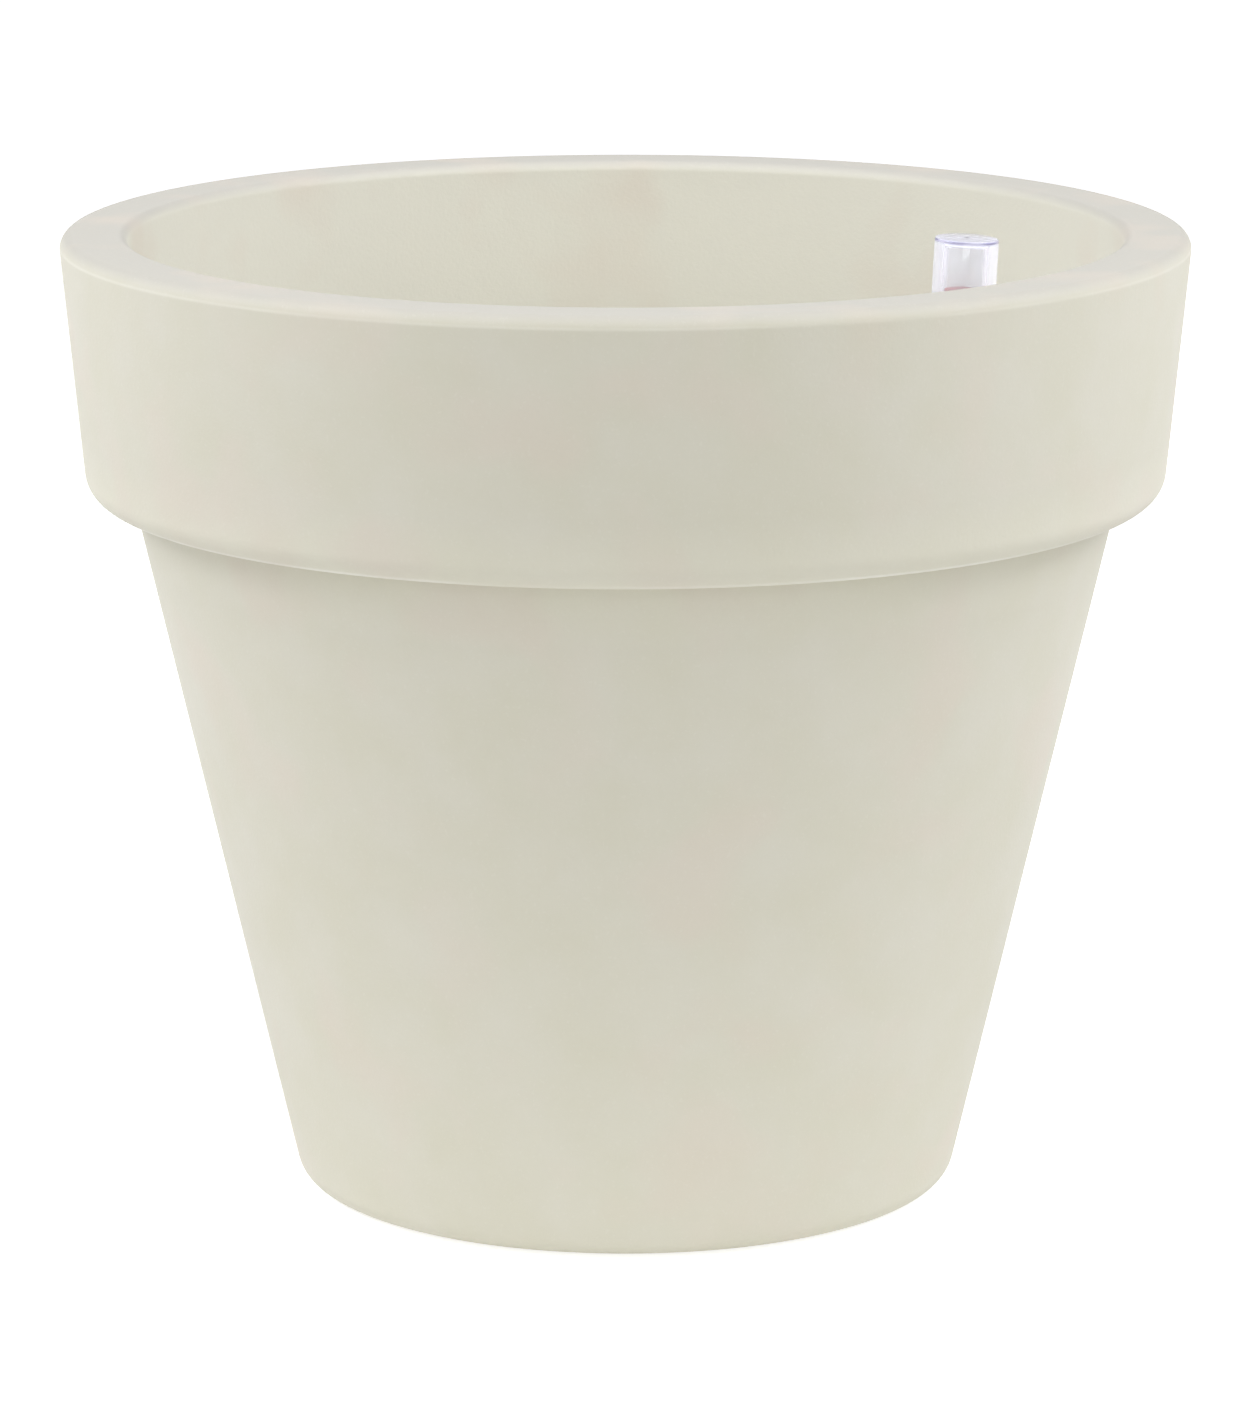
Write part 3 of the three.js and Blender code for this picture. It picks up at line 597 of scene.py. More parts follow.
vent_head_z = collar_z - VENT_HEAD
vent_plug = turned(
    "vent_plug",
    (0, vent_head_z),
    (VENT_HEAD_R, vent_head_z, EDGE_ROUND),
    (VENT_HEAD_R, collar_z),
    (VENT_R - FIT, collar_z),
    (VENT_R - FIT, vent_head_z + VENT_STEM, EDGE_ROUND),
    (0, vent_head_z + VENT_STEM),
    sides=SMALL_SIDES,
    material=ivory,
)
fitted(moved(vent_plug, vent_place), "collar_vent_plug", "pot")

# Drain fitting.
# A bulkhead fitting in dark grey plastic, moulded in one: its threaded spigot goes down through the
# pot's floor, its flange lies on the gasket, and its standpipe sets the highest water level. A groove
# in the bore holds the plug's lugs, which come in from below through a slot across the bore.
WATER_LEVEL = 0.060
LOOSE_FIT = 0.0005
SPIGOT_R = DRAIN_HOLE_R - LOOSE_FIT
SPIGOT_BELOW = 0.007
DRAIN_FLANGE_R = 0.022
DRAIN_FLANGE = 0.003
GASKET = 0.002
STANDPIPE_R = 0.0095
STANDPIPE_FILLET = 0.002
DRAIN_BORE_R = 0.007
GROOVE_DEPTH = 0.0025
GROOVE_ABOVE_SPIGOT_END = 0.004
GROOVE_HEIGHT = 0.0032
LUG_WIDTH = 0.005
THREAD_PITCH = 0.002
THREAD_DEPTH = 0.0007
THREAD_TURNS = 6
ROWS_A_TURN = 6
PAST = 0.001

drain_flange_z = raised_floor_z + GASKET
spigot_z = RECESS_DEPTH - SPIGOT_BELOW
groove_r = DRAIN_BORE_R + GROOVE_DEPTH
groove_z = spigot_z + GROOVE_ABOVE_SPIGOT_END


def lofted(name, *rings, material=None):
    """A solid through (outline, z) rings of equally many points, flat at both ends."""
    count = len(rings[0][0])
    points = [(x, y, z) for outline, z in rings for x, y in outline]
    faces = [tuple(reversed(range(count))), tuple(range(len(points) - count, len(points)))]
    for first in range(0, len(points) - count, count):
        for i in range(count):
            after = (i + 1) % count
            faces.append((first + i, first + after, first + count + after, first + count + i))
    mesh = bpy.data.meshes.new(name)
    mesh.from_pydata(points, [], faces)
    mesh.materials.append(material)
    return link(bpy.data.objects.new(name, mesh))


def bar(name, start, end, width, low, high, chamfer=0.0):
    """A bar along x, with its upper and lower edges chamfered where that is asked for."""

    def outline(inset):
        half = width / 2 - inset
        return [(start + inset, -half), (end - inset, -half), (end - inset, half), (start + inset, half)]

    middle = [(outline(0), low + chamfer), (outline(0), high - chamfer)]
    ends = [(outline(chamfer), low), (outline(chamfer), high)] if chamfer else []
    return lofted(name, *ends[:1], *middle, *ends[1:])


def ring(name, inner, outer, low, high, material=None, rounding=0.0):
    corners = [(r, z, rounding) for r, z in ((inner, low), (outer, low), (outer, high), (inner, high))]
    return turned(name, *corners, material=material)


def on_ring(count, start=0.0):
    return [start + tau * i / count for i in range(count)]


def ring_places(radius, turns):
    """Places on a ring round the z axis, each turned to face outwards."""
    return [(radius * cos(turn), radius * sin(turn), 0, turn) for turn in turns]


def threading():
    """Presses a screw thread into the outer wall of a turned piece, between two heights."""
    sizes = dict.fromkeys(("Low", "High", "Radius", "Pitch", "Depth"), "Float")
    tree, given = shaping("Screw thread", {"Blank": "Geometry"} | sizes)
    at = xyz_of(flow(tree, "GeometryNodeInputPosition"))
    turns = at["Y"].math("ARCTAN2", at["X"]) / tau
    wave = (at["Z"] / given["Pitch"] - turns).math("PINGPONG", 0.5)
    level = flow(tree, "ShaderNodeCombineXYZ", {0: at["X"], 1: at["Y"]})
    radius = flow(tree, "ShaderNodeVectorMath", {0: level}, "Value", operation="LENGTH")
    outer_wall = radius.math("GREATER_THAN", given["Radius"] - given["Depth"])
    above = at["Z"].math("GREATER_THAN", given["Low"])
    below = at["Z"].math("LESS_THAN", given["High"])
    deepest = given["Depth"] / given["Radius"] * 2
    scale = 1 - outer_wall * (above * below) * (wave * deepest)
    pressed = flow(tree, "ShaderNodeCombineXYZ", {0: at["X"] * scale, 1: at["Y"] * scale, 2: at["Z"]})
    wall = flow(tree, "GeometryNodeSetPosition", {0: given["Blank"], "Position": pressed})
    return finish_tree(tree, wall, given["Material"])


def fine_plastic(name, base, worn, roughness):
    """Injection-moulded plastic with a fine matte texture and faint paler clouds where it is rubbed."""
    material, place = new_material(name)
    skin = skin_of(place, clouds=0.018, grain=0.0006)
    speck = (*(2 * share for share in worn[:3]), 1)
    tone = painted(blended(skin["Clouds"], base, worn), (skin["Specks"] * 0.35, speck))
    gloss = skin["Grain"] * 0.14 + (roughness - 0.07)
    bump = bumped(skin["Grain"], depth=0.0001)
    return surfaced(material, principled(place.tree, Base_Color=tone, Roughness=gloss, Normal=bump))


dark_grey = fine_plastic("dark grey drain plastic", colour(74, 76, 78), colour(82, 84, 87), 0.45)
thread_rows = range(ROWS_A_TURN // 2, ROWS_A_TURN // 2 + THREAD_TURNS * ROWS_A_TURN)
thread_z = [spigot_z + row * THREAD_PITCH / ROWS_A_TURN for row in thread_rows]
drain_fitting = turned(
    "standpipe_fitting",
    (DRAIN_BORE_R, spigot_z),
    (SPIGOT_R, spigot_z, EDGE_ROUND),
    *((SPIGOT_R, z) for z in thread_z),
    (SPIGOT_R, drain_flange_z),
    (DRAIN_FLANGE_R, drain_flange_z, EDGE_ROUND),
    (DRAIN_FLANGE_R, drain_flange_z + DRAIN_FLANGE, EDGE_ROUND),
    (STANDPIPE_R, drain_flange_z + 2 * DRAIN_FLANGE, STANDPIPE_FILLET),
    (STANDPIPE_R, WATER_LEVEL, EDGE_ROUND),
    (DRAIN_BORE_R, WATER_LEVEL, EDGE_ROUND),
    material=dark_grey,
)
settled(
    drain_fitting,
    threading(),
    Low=thread_z[0],
    High=thread_z[-1],
    Radius=SPIGOT_R,
    Pitch=THREAD_PITCH,
    Depth=THREAD_DEPTH,
    Material=dark_grey,
)
cut(drain_fitting, ring("groove", DRAIN_BORE_R / 2, groove_r, groove_z, groove_z + GROOVE_HEIGHT))
entry = bar("entry", -groove_r, groove_r, LUG_WIDTH + 2 * LOOSE_FIT, spigot_z - PAST, groove_z + PAST)
cut(drain_fitting, entry, [(0, 0, 0, pi / 2)])
fitted(drain_fitting, "drain_fitting", "pot")

# Drain gasket.
# A flat ring of black rubber that seals the fitting's flange to the pot's floor.
GASKET_ROUND = 0.0004


def soft_rubber():
    """Matte black rubber with a greyish bloom in patches and a fine moulded grain."""
    material, place = new_material("black rubber")
    skin = skin_of(place, clouds=0.008, grain=0.0005)
    tone = blended(skin["Clouds"] * 0.6, colour(20, 20, 20), colour(34, 34, 33))
    bump = bumped(skin["Grain"], depth=0.00012)
    return surfaced(material, principled(place.tree, Base_Color=tone, Roughness=0.82, Normal=bump))


rubber = soft_rubber()
gasket = ring(
    "drain_seal", SPIGOT_R + FIT, DRAIN_FLANGE_R, raised_floor_z, drain_flange_z, rubber, GASKET_ROUND
)
fitted(gasket, "drain_gasket", "pot")

# Drain locknut.
# A hexagon nut under the pot's floor that pulls the flange down on its gasket, chamfered at both faces.
LOCKNUT_R = 0.023
LOCKNUT = 0.005
NUT_CHAMFER = 0.0011

nut_z = RECESS_DEPTH - LOCKNUT
chamfer_r = LOCKNUT_R - 2 * NUT_CHAMFER
hexagon = [(LOCKNUT_R * cos(turn), LOCKNUT_R * sin(turn)) for turn in on_ring(6)]
locknut = lofted("drain_nut", (hexagon, nut_z), (hexagon, RECESS_DEPTH), material=dark_grey)
nut_chamfer = turned(
    "nut_chamfer",
    (0, nut_z - PAST),
    (chamfer_r, nut_z),
    (LOCKNUT_R, nut_z + NUT_CHAMFER),
    (LOCKNUT_R, RECESS_DEPTH - NUT_CHAMFER),
    (chamfer_r, RECESS_DEPTH),
    (0, RECESS_DEPTH + PAST),
)
kept(locknut, nut_chamfer)
cut(locknut, rod("nut_bore", SPIGOT_R + FIT, nut_z - PAST, RECESS_DEPTH + PAST))
fitted(locknut, "drain_locknut", "pot")

# Drain plug.
# A quarter-turn plug that shuts the standpipe from below: a round head with a finger grip across it,
# a stem with two lugs for the groove in the fitting, and a seat for the seal ring.
PLUG_HEAD_R = 0.013
PLUG_HEAD = 0.0026
PLUG_HEAD_ROUND = 0.0008
PLUG_GRIP_WIDTH = 0.004
PLUG_GRIP_DROP = 0.0012
PLUG_STEM = 0.0135
ORING_R = 0.00075
ORING_BELOW_STEM_END = 0.003

plug_stem_r = DRAIN_BORE_R - FIT
plug_head_top_z = spigot_z - FIT
plug_head_z = plug_head_top_z - PLUG_HEAD
plug_top_z = plug_head_top_z + PLUG_STEM
oring_z = plug_top_z - ORING_BELOW_STEM_END
seat_half = ORING_R + FIT
lug_r = groove_r - LOOSE_FIT
grip_r = PLUG_HEAD_R - PLUG_GRIP_WIDTH / 2
grip_z = plug_head_z - PLUG_GRIP_DROP
drain_plug = turned(
    "quarter_turn_plug",
    (0, plug_head_z),
    (PLUG_HEAD_R, plug_head_z, PLUG_HEAD_ROUND),
    (PLUG_HEAD_R, plug_head_top_z, EDGE_ROUND),
    (plug_stem_r, plug_head_top_z),
    (plug_stem_r, oring_z - seat_half),
    (plug_stem_r - 2 * ORING_R, oring_z - seat_half),
    (plug_stem_r - 2 * ORING_R, oring_z + seat_half),
    (plug_stem_r, oring_z + seat_half),
    (plug_stem_r, plug_top_z, EDGE_ROUND),
    (0, plug_top_z),
    material=dark_grey,
)
lugs = bar("lugs", -lug_r, lug_r, LUG_WIDTH, groove_z + FIT, groove_z + GROOVE_HEIGHT - FIT, FIT)
grip = bar("grip", -grip_r, grip_r, PLUG_GRIP_WIDTH, grip_z, plug_head_top_z - FIT, EDGE_ROUND)
joined(drain_plug, lugs)
joined(drain_plug, grip)
fitted(drain_plug, "drain_plug", "drain_plug")

# Drain plug seal ring.
# A round-section rubber ring in the seat near the plug's end, which seals in the standpipe's bore.
ORING_ROUND = 0.99 * ORING_R

oring_ring_r = plug_stem_r - ORING_R + FIT / 2
oring = ring(
    "plug_seal_ring",
    oring_ring_r - ORING_R,
    oring_ring_r + ORING_R,
    oring_z - ORING_R,
    oring_z + ORING_R,
    rubber,
    ORING_ROUND,
)
fitted(oring, "drain_plug_oring", "drain_plug")

# Separator tray.
# A slotted plate of near-black injection-moulded plastic that carries the soil above the water. It has
# a flared lip along the pot's wall, ribs below, sockets for the legs, round seats for the baskets and
# a leaning sleeve for the fill tube.
TRAY_Z = 0.072
TRAY_PLATE = 0.003
TRAY_WALL_GAP = 0.0012
TRAY_LIP = 0.014
TRAY_LIP_WALL = 0.0025
RIB_DEPTH = 0.008
RIB_WIDTH = 0.0025
HUB_RIB_R = 0.030
SLOT_WIDTH = 0.004
SLOT_LENGTH = 0.016
SLOT_MARGIN = 0.0035
SLOT_FIRST_R = 0.018
SLOT_ROW_PITCH = 0.024
SLOT_SPACING = 0.020
SLOT_CHAMFER = 0.0004
SLOT_END_STEPS = 8
OUTER_LEGS = 6
OUTER_LEG_TURN = radians(30)
INNER_LEGS = 3
INNER_LEG_RING_R = 0.045
LEG_R = 0.008
LEG_BOSS_WALL = 0.0025
LEG_PIN_R = 0.004
BASKETS = 3
BASKET_TURN = radians(60)
BASKET_RING_R = 0.075
BASKET_TOP_R = 0.0305
BASKET_FLANGE = 0.004
GAUGE_TOP_X = 0.1509
GAUGE_BELOW_RIM = 0.004
GAUGE_WALL_GAP = 0.002
TUBE_R = 0.011
GROMMET_WALL = 0.0022
SLEEVE_WALL = 0.0025
SLEEVE_RISE = 0.006
SOFT_ROUND = 0.001
TRAY_SIDES = 192
POST_SIDES = 48

foot_arc_r = BASE_R + FOOT_ROUND * (tan(cone_lean) - 1 / cos(cone_lean))
leg_ring_r = (channel_inner_r + foot_arc_r) / 2
tray_top_z = TRAY_Z + TRAY_PLATE
plate_r = inner_cone_r(TRAY_Z) - TRAY_WALL_GAP
lip_top_z = tray_top_z + TRAY_LIP
lip_top_r = inner_cone_r(lip_top_z) - TRAY_WALL_GAP
lip_foot_r = inner_cone_r(tray_top_z) - TRAY_WALL_GAP - TRAY_LIP_WALL
rib_z = TRAY_Z - RIB_DEPTH
rib_top_z = TRAY_Z + TRAY_PLATE / 2
rib_end = inner_cone_r(rib_z) - TRAY_WALL_GAP - RIB_WIDTH
rib_turns = on_ring(OUTER_LEGS, OUTER_LEG_TURN)
outer_leg_places = ring_places(leg_ring_r, rib_turns)
inner_leg_places = ring_places(INNER_LEG_RING_R, on_ring(INNER_LEGS))
leg_places = outer_leg_places + inner_leg_places
basket_places = ring_places(BASKET_RING_R, on_ring(BASKETS, BASKET_TURN))
basket_seat_r = BASKET_TOP_R + LOOSE_FIT
leg_boss_r = LEG_R + FIT + LEG_BOSS_WALL

gauge_base_x = inner_cone_r(FOOT_ROUND) - TUBE_R - GAUGE_WALL_GAP
gauge_rise = HEIGHT - GAUGE_BELOW_RIM - WALL
gauge_lean = atan2(GAUGE_TOP_X - gauge_base_x, gauge_rise)
gauge_length = gauge_rise / cos(gauge_lean)
gauge_at_tray = (tray_top_z - WALL) / cos(gauge_lean)
sleeve_foot = gauge_at_tray - TRAY_PLATE - RIB_DEPTH
sleeve_top = gauge_at_tray + SLEEVE_RISE
sleeve_bore_foot = sleeve_foot - TRAY_PLATE - RIB_DEPTH
sleeve_bore_r = TUBE_R + FIT + GROMMET_WALL + FIT
sleeve_r = sleeve_bore_r + SLEEVE_WALL
leaning = Matrix.Translation((gauge_base_x, 0, WALL)) @ Matrix.Rotation(gauge_lean, 4, "Y")


def stadium(length, width):
    """The outline of a slot along x with round ends."""
    run = (length - width) / 2
    half_turn = [pi * step / SLOT_END_STEPS - pi / 2 for step in range(SLOT_END_STEPS + 1)]
    return [
        (side * (run + width / 2 * cos(angle)), side * width / 2 * sin(angle))
        for side in (1, -1)
        for angle in half_turn
    ]


def slot_cutter(length, width, low, high):
    """Cuts a slot whose upper edge is chamfered at the height given as high."""
    wide = 4 * SLOT_CHAMFER
    return lofted(
        "slot",
        (stadium(length, width), low - PAST),
        (stadium(length, width), high - SLOT_CHAMFER),
        (stadium(length + wide, width + wide), high + SLOT_CHAMFER),
    )


def slot_places():
    """Slots fill the fields between the ribs, row by row, where no basket, leg or sleeve is in the way."""
    keep_out = [(x, y, BASKET_TOP_R + BASKET_FLANGE) for x, y, z, turn in basket_places]
    keep_out += [(x, y, leg_boss_r) for x, y, z, turn in leg_places]
    keep_out.append((gauge_base_x + (tray_top_z - WALL) * tan(gauge_lean), 0, sleeve_r))
    reach = SLOT_LENGTH / 2 + SLOT_MARGIN
    places = []
    radius = SLOT_FIRST_R
    while radius + reach < plate_r - TRAY_LIP_WALL:
        in_field = max(1, int(tau * radius / OUTER_LEGS / SLOT_SPACING))
        turns = on_ring(OUTER_LEGS * in_field, OUTER_LEG_TURN + pi / OUTER_LEGS / in_field)
        places += [
            place
            for place in ring_places(radius, turns)
            if all(hypot(place[0] - x, place[1] - y) > r + reach for x, y, r in keep_out)
        ]
        radius += SLOT_ROW_PITCH
    return places


black_plastic = fine_plastic("near-black moulded plastic", colour(43, 44, 45), colour(49, 50, 51), 0.5)
tray = turned(
    "soil_tray",
    (0, TRAY_Z),
    (plate_r, TRAY_Z, SOFT_ROUND),
    (lip_top_r, lip_top_z, SOFT_ROUND),
    (lip_top_r - TRAY_LIP_WALL, lip_top_z, SOFT_ROUND),
    (lip_foot_r, tray_top_z, 2 * SOFT_ROUND),
    (0, tray_top_z),
    sides=TRAY_SIDES,
    material=black_plastic,
)
rib = bar("rib", HUB_RIB_R + RIB_WIDTH / 2, rib_end, RIB_WIDTH, rib_z, rib_top_z, EDGE_ROUND)
joined(tray, ring("hub", HUB_RIB_R, HUB_RIB_R + RIB_WIDTH, rib_z, rib_top_z))
joined(tray, rib, ring_places(0, rib_turns))
joined(tray, rod("seat", basket_seat_r + RIB_WIDTH, rib_z, rib_top_z), basket_places)
joined(tray, rod("boss", leg_boss_r, rib_z, rib_top_z, POST_SIDES), leg_places)
joined(tray, moved(rod("sleeve", sleeve_r, sleeve_foot, sleeve_top), leaning))
cut(tray, rod("seat_bore", basket_seat_r, rib_z - PAST, tray_top_z + PAST), basket_places)
cut(tray, rod("socket", LEG_R + FIT, rib_z - PAST, TRAY_Z, POST_SIDES), leg_places)
cut(tray, rod("pin_hole", LEG_PIN_R + FIT, rib_z, tray_top_z + PAST, POST_SIDES), leg_places)
cut(tray, moved(rod("sleeve_bore", sleeve_bore_r, sleeve_bore_foot, sleeve_top + PAST), leaning))
cut(tray, slot_cutter(SLOT_LENGTH, SLOT_WIDTH, TRAY_Z, tray_top_z), slot_places())
fitted(tray, "separator_tray", "insert")

# Support legs.
# Nine moulded posts that stand on the pot's floor and carry the tray. Each fills its socket and snaps
# through the plate with a split, headed pin. The six outer ones stand in the deep channel.
LEG_FOOT_R = 0.011
LEG_FOOT = 0.003
LEG_HEAD_R = 0.0055
LEG_HEAD = 0.0025
PIN_SPLIT = 0.0014

pin_top_z = tray_top_z + LEG_HEAD


def leg(name, floor_z, place):
    """One post, drawn on the axis with its pin split, then moved to its place."""
    post = turned(
        name,
        (0, floor_z),
        (LEG_FOOT_R, floor_z, EDGE_ROUND),
        (LEG_R, floor_z + LEG_FOOT, SOFT_ROUND),
        (LEG_R, TRAY_Z, EDGE_ROUND),
        (LEG_PIN_R, TRAY_Z),
        (LEG_PIN_R, tray_top_z),
        (LEG_HEAD_R, tray_top_z),
        (LEG_PIN_R, pin_top_z, EDGE_ROUND),
        (0, pin_top_z),
        sides=POST_SIDES,
        material=black_plastic,
    )
    cut(post, bar("split", -LEG_R, LEG_R, PIN_SPLIT, TRAY_Z + PAST, pin_top_z + PAST))
    return moved(post, Matrix.Translation(place[:3]) @ Matrix.Rotation(place[3], 4, "Z"))


for i, place in enumerate(outer_leg_places, 1):
    post = leg(f"channel_leg_{i}", WALL, place)
    fitted(post, f"support_leg_outer_{i}", "insert")
for i, place in enumerate(inner_leg_places, 1):
    post = leg(f"middle_leg_{i}", raised_floor_z, place)
    fitted(post, f"support_leg_inner_{i}", "insert")

# Wicking baskets.
# Three slotted cups that hang in the tray by their flanges. The soil in them dips into the water and
# draws it up. Rounded slots run up their leaning walls and lie as a star in their floors.
BASKET_BOTTOM_R = 0.023
BASKET_BOTTOM_ROUND = 0.0015
BASKET_WALL = 0.002
BASKET_FLANGE_THICK = 0.002
BASKET_FLOOR_GAP = 0.003
BASKET_SLOTS = 12
BASKET_SLOT_WIDTH = 0.003
BASKET_SLOT_TOP_MARGIN = 0.012
BASKET_SLOT_BOTTOM_MARGIN = 0.006

basket_floor_z = raised_floor_z + BASKET_FLOOR_GAP
basket_soil_z = basket_floor_z + BASKET_WALL
basket_flange_r = BASKET_TOP_R + BASKET_FLANGE
basket_flange_top_z = tray_top_z + BASKET_FLANGE_THICK
basket_slot_z = basket_soil_z + BASKET_SLOT_BOTTOM_MARGIN
basket_slot_top_z = tray_top_z - BASKET_SLOT_TOP_MARGIN


def side_slot(width, low, high, inner, outer):
    """Cuts an upright slot with round ends through a wall, outwards along x."""
    outline = stadium(high - low, width)
    cutter = lofted("side_slot", (outline, inner), (outline, outer))
    return moved(cutter, Matrix.Translation((0, 0, (low + high) / 2)) @ Matrix.Rotation(pi / 2, 4, "Y"))


def basket(name, place):
    """One cup, drawn on the axis with its slots cut, then moved to its place."""
    cup = turned(
        name,
        (0, basket_floor_z),
        (BASKET_BOTTOM_R, basket_floor_z, BASKET_BOTTOM_ROUND),
        (BASKET_TOP_R, tray_top_z),
        (basket_flange_r, tray_top_z, EDGE_ROUND),
        (basket_flange_r, basket_flange_top_z, EDGE_ROUND),
        (BASKET_TOP_R - BASKET_WALL, basket_flange_top_z, EDGE_ROUND),
        (BASKET_BOTTOM_R - BASKET_WALL, basket_soil_z, SOFT_ROUND),
        (0, basket_soil_z),
        material=black_plastic,
    )
    star_r = BASKET_BOTTOM_R / 2
    wall_slot = side_slot(BASKET_SLOT_WIDTH, basket_slot_z, basket_slot_top_z, star_r, BASKET_TOP_R + PAST)
    floor_slot = slot_cutter(star_r, BASKET_SLOT_WIDTH, basket_floor_z, basket_soil_z)
    cut(cup, wall_slot, ring_places(0, on_ring(BASKET_SLOTS)))
    cut(cup, floor_slot, ring_places(star_r, on_ring(BASKET_SLOTS // 2)))
    return moved(cup, Matrix.Translation(place[:3]))


for i, place in enumerate(basket_places, 1):
    fitted(basket(f"wicking_cup_{i}", place), f"wicking_basket_{i}", "insert")

# Foot strainer.
# A push-in foot under the fill tube. Its spigot is the float's lower seat, and the cross in it keeps
# grit out of the tube. The pieces of the gauge are drawn upright and then leaned into their place.
TUBE_WALL = 0.0015
STRAINER_FOOT_R = 0.007
STRAINER_FOOT_GAP = 0.0009
STRAINER_FOOT = 0.0035
STRAINER_CONE = 0.003
STRAINER_EDGE = 0.0015
STRAINER_SPIGOT = 0.005
STRAINER_WALL = 0.002
STREAK_SHORTENED = 0.02

tube_bore_r = TUBE_R - TUBE_WALL
strainer_foot_top = STRAINER_FOOT_GAP + STRAINER_FOOT
strainer_edge = strainer_foot_top + STRAINER_CONE
strainer_top = strainer_edge + STRAINER_EDGE
strainer_bore_r = STRAINER_FOOT_R - STRAINER_WALL
push_in_r = tube_bore_r - FIT
push_in_bore_r = push_in_r - STRAINER_WALL
tube_start = strainer_top + FIT
push_in_end = tube_start + STRAINER_SPIGOT


def along_gauge(place):
    """Object coordinates seen along the gauge: its own axis is z."""
    given = {"Vector": place, "Location": (gauge_base_x, 0, WALL), "Rotation": (0, gauge_lean, 0)}
    return flow(place.tree, "ShaderNodeMapping", given, vector_type="TEXTURE")


def drawn_streaks():
    """Streaks that a die leaves along a drawn tube or rod, and the finer scratches between them."""
    masks = {"Streaks": "Float", "Scratches": "Float"}
    tree, given = new_group("Drawn streaks", "Shader", {"Place": "Vector", "Width": "Float"}, masks)
    shortened = {0: given["Place"], 1: (1, 1, STREAK_SHORTENED)}
    long = flow(tree, "ShaderNodeVectorMath", shortened, operation="MULTIPLY")
    streaks = stretched(noise(long, given["Width"], 1.0), 0.3, 0.7)
    scratches = stretched(noise(long, given["Width"] * 0.2, 3.0, 0.7), 0.45, 0.75)
    node(tree, "NodeGroupOutput", {"Streaks": streaks, "Scratches": scratches})
    return tree


streak_group = drawn_streaks()


def streaks_of(place, width):
    return flows(place.tree, "ShaderNodeGroup", {"Place": place, "Width": width}, node_tree=streak_group)


def extruded(name, base, streak, roughness, width):
    """Plastic drawn through a die, satin, with streaks along the gauge's axis."""
    material, place = new_material(name)
    marks = streaks_of(along_gauge(place), width)
    tone = blended(marks["Streaks"], base, streak)
    gloss = marks["Scratches"] * 0.2 + roughness
    bump = bumped(marks["Streaks"], depth=0.00005, strength=0.6)
    return surfaced(material, principled(place.tree, Base_Color=tone, Roughness=gloss, Normal=bump))


tube_black = extruded("near-black extruded plastic", colour(35, 36, 37), colour(45, 46, 48), 0.35, 0.0012)
strainer = turned(
    "tube_foot",
    (strainer_bore_r, STRAINER_FOOT_GAP),
    (STRAINER_FOOT_R, STRAINER_FOOT_GAP, EDGE_ROUND),
    (STRAINER_FOOT_R, strainer_foot_top),
    (TUBE_R, strainer_edge),
    (TUBE_R, strainer_top, EDGE_ROUND),
    (push_in_r, strainer_top),
    (push_in_r, push_in_end, EDGE_ROUND),
    (push_in_bore_r, push_in_end),
    (push_in_bore_r, strainer_edge),
    (strainer_bore_r, strainer_foot_top),
    material=tube_black,
)
cross_r = push_in_r - STRAINER_WALL / 2
for turn in (0, pi / 2):
    cross = bar("cross", -cross_r, cross_r, STRAINER_WALL, strainer_top, push_in_end - FIT)
    joined(strainer, cross, [(0, 0, 0, turn)])
fitted(moved(strainer, leaning), "foot_strainer", "insert")

# Fill tube.
# An extruded black tube that water is poured into: slots at its foot let the water out into the
# reservoir, and a collar near its mouth carries the clear head.
TUBE_INTAKES = 4
INTAKE_WIDTH = 0.005
INTAKE_LENGTH = 0.034
INTAKE_MARGIN = 0.008
CAP_R = 0.0142
CAP_LENGTH = 0.062
CAP_OVERLAP = 0.018
STOP_COLLAR = 0.003
STOP_COLLAR_FILLET = 0.0008

cap_start = gauge_length - CAP_LENGTH
collar_top = cap_start - FIT
tube_end = collar_top + CAP_OVERLAP
tube = turned(
    "water_tube",
    (tube_bore_r, tube_start),
    (TUBE_R, tube_start),
    (TUBE_R, collar_top - 2 * STOP_COLLAR, STOP_COLLAR_FILLET),
    (CAP_R, collar_top - STOP_COLLAR, EDGE_ROUND),
    (CAP_R, collar_top, EDGE_ROUND),
    (TUBE_R, collar_top),
    (TUBE_R, tube_end, EDGE_ROUND),
    (tube_bore_r, tube_end, EDGE_ROUND),
    material=tube_black,
)
intake_z = tube_start + INTAKE_MARGIN
intake = side_slot(INTAKE_WIDTH, intake_z, intake_z + INTAKE_LENGTH, tube_bore_r / 2, TUBE_R + PAST)
cut(tube, intake, ring_places(0, on_ring(TUBE_INTAKES, pi / 4)))
fitted(moved(tube, leaning), "fill_tube", "insert")

# Tube grommet.
# A rubber ring between the tube and the tray's sleeve, with a flange that lies on the sleeve's end and
# keeps the soil from trickling into the water.
GROMMET_FLANGE = 0.0025
GROMMET_LIP = 0.0022
GROMMET_LIP_ROUND = 0.0009

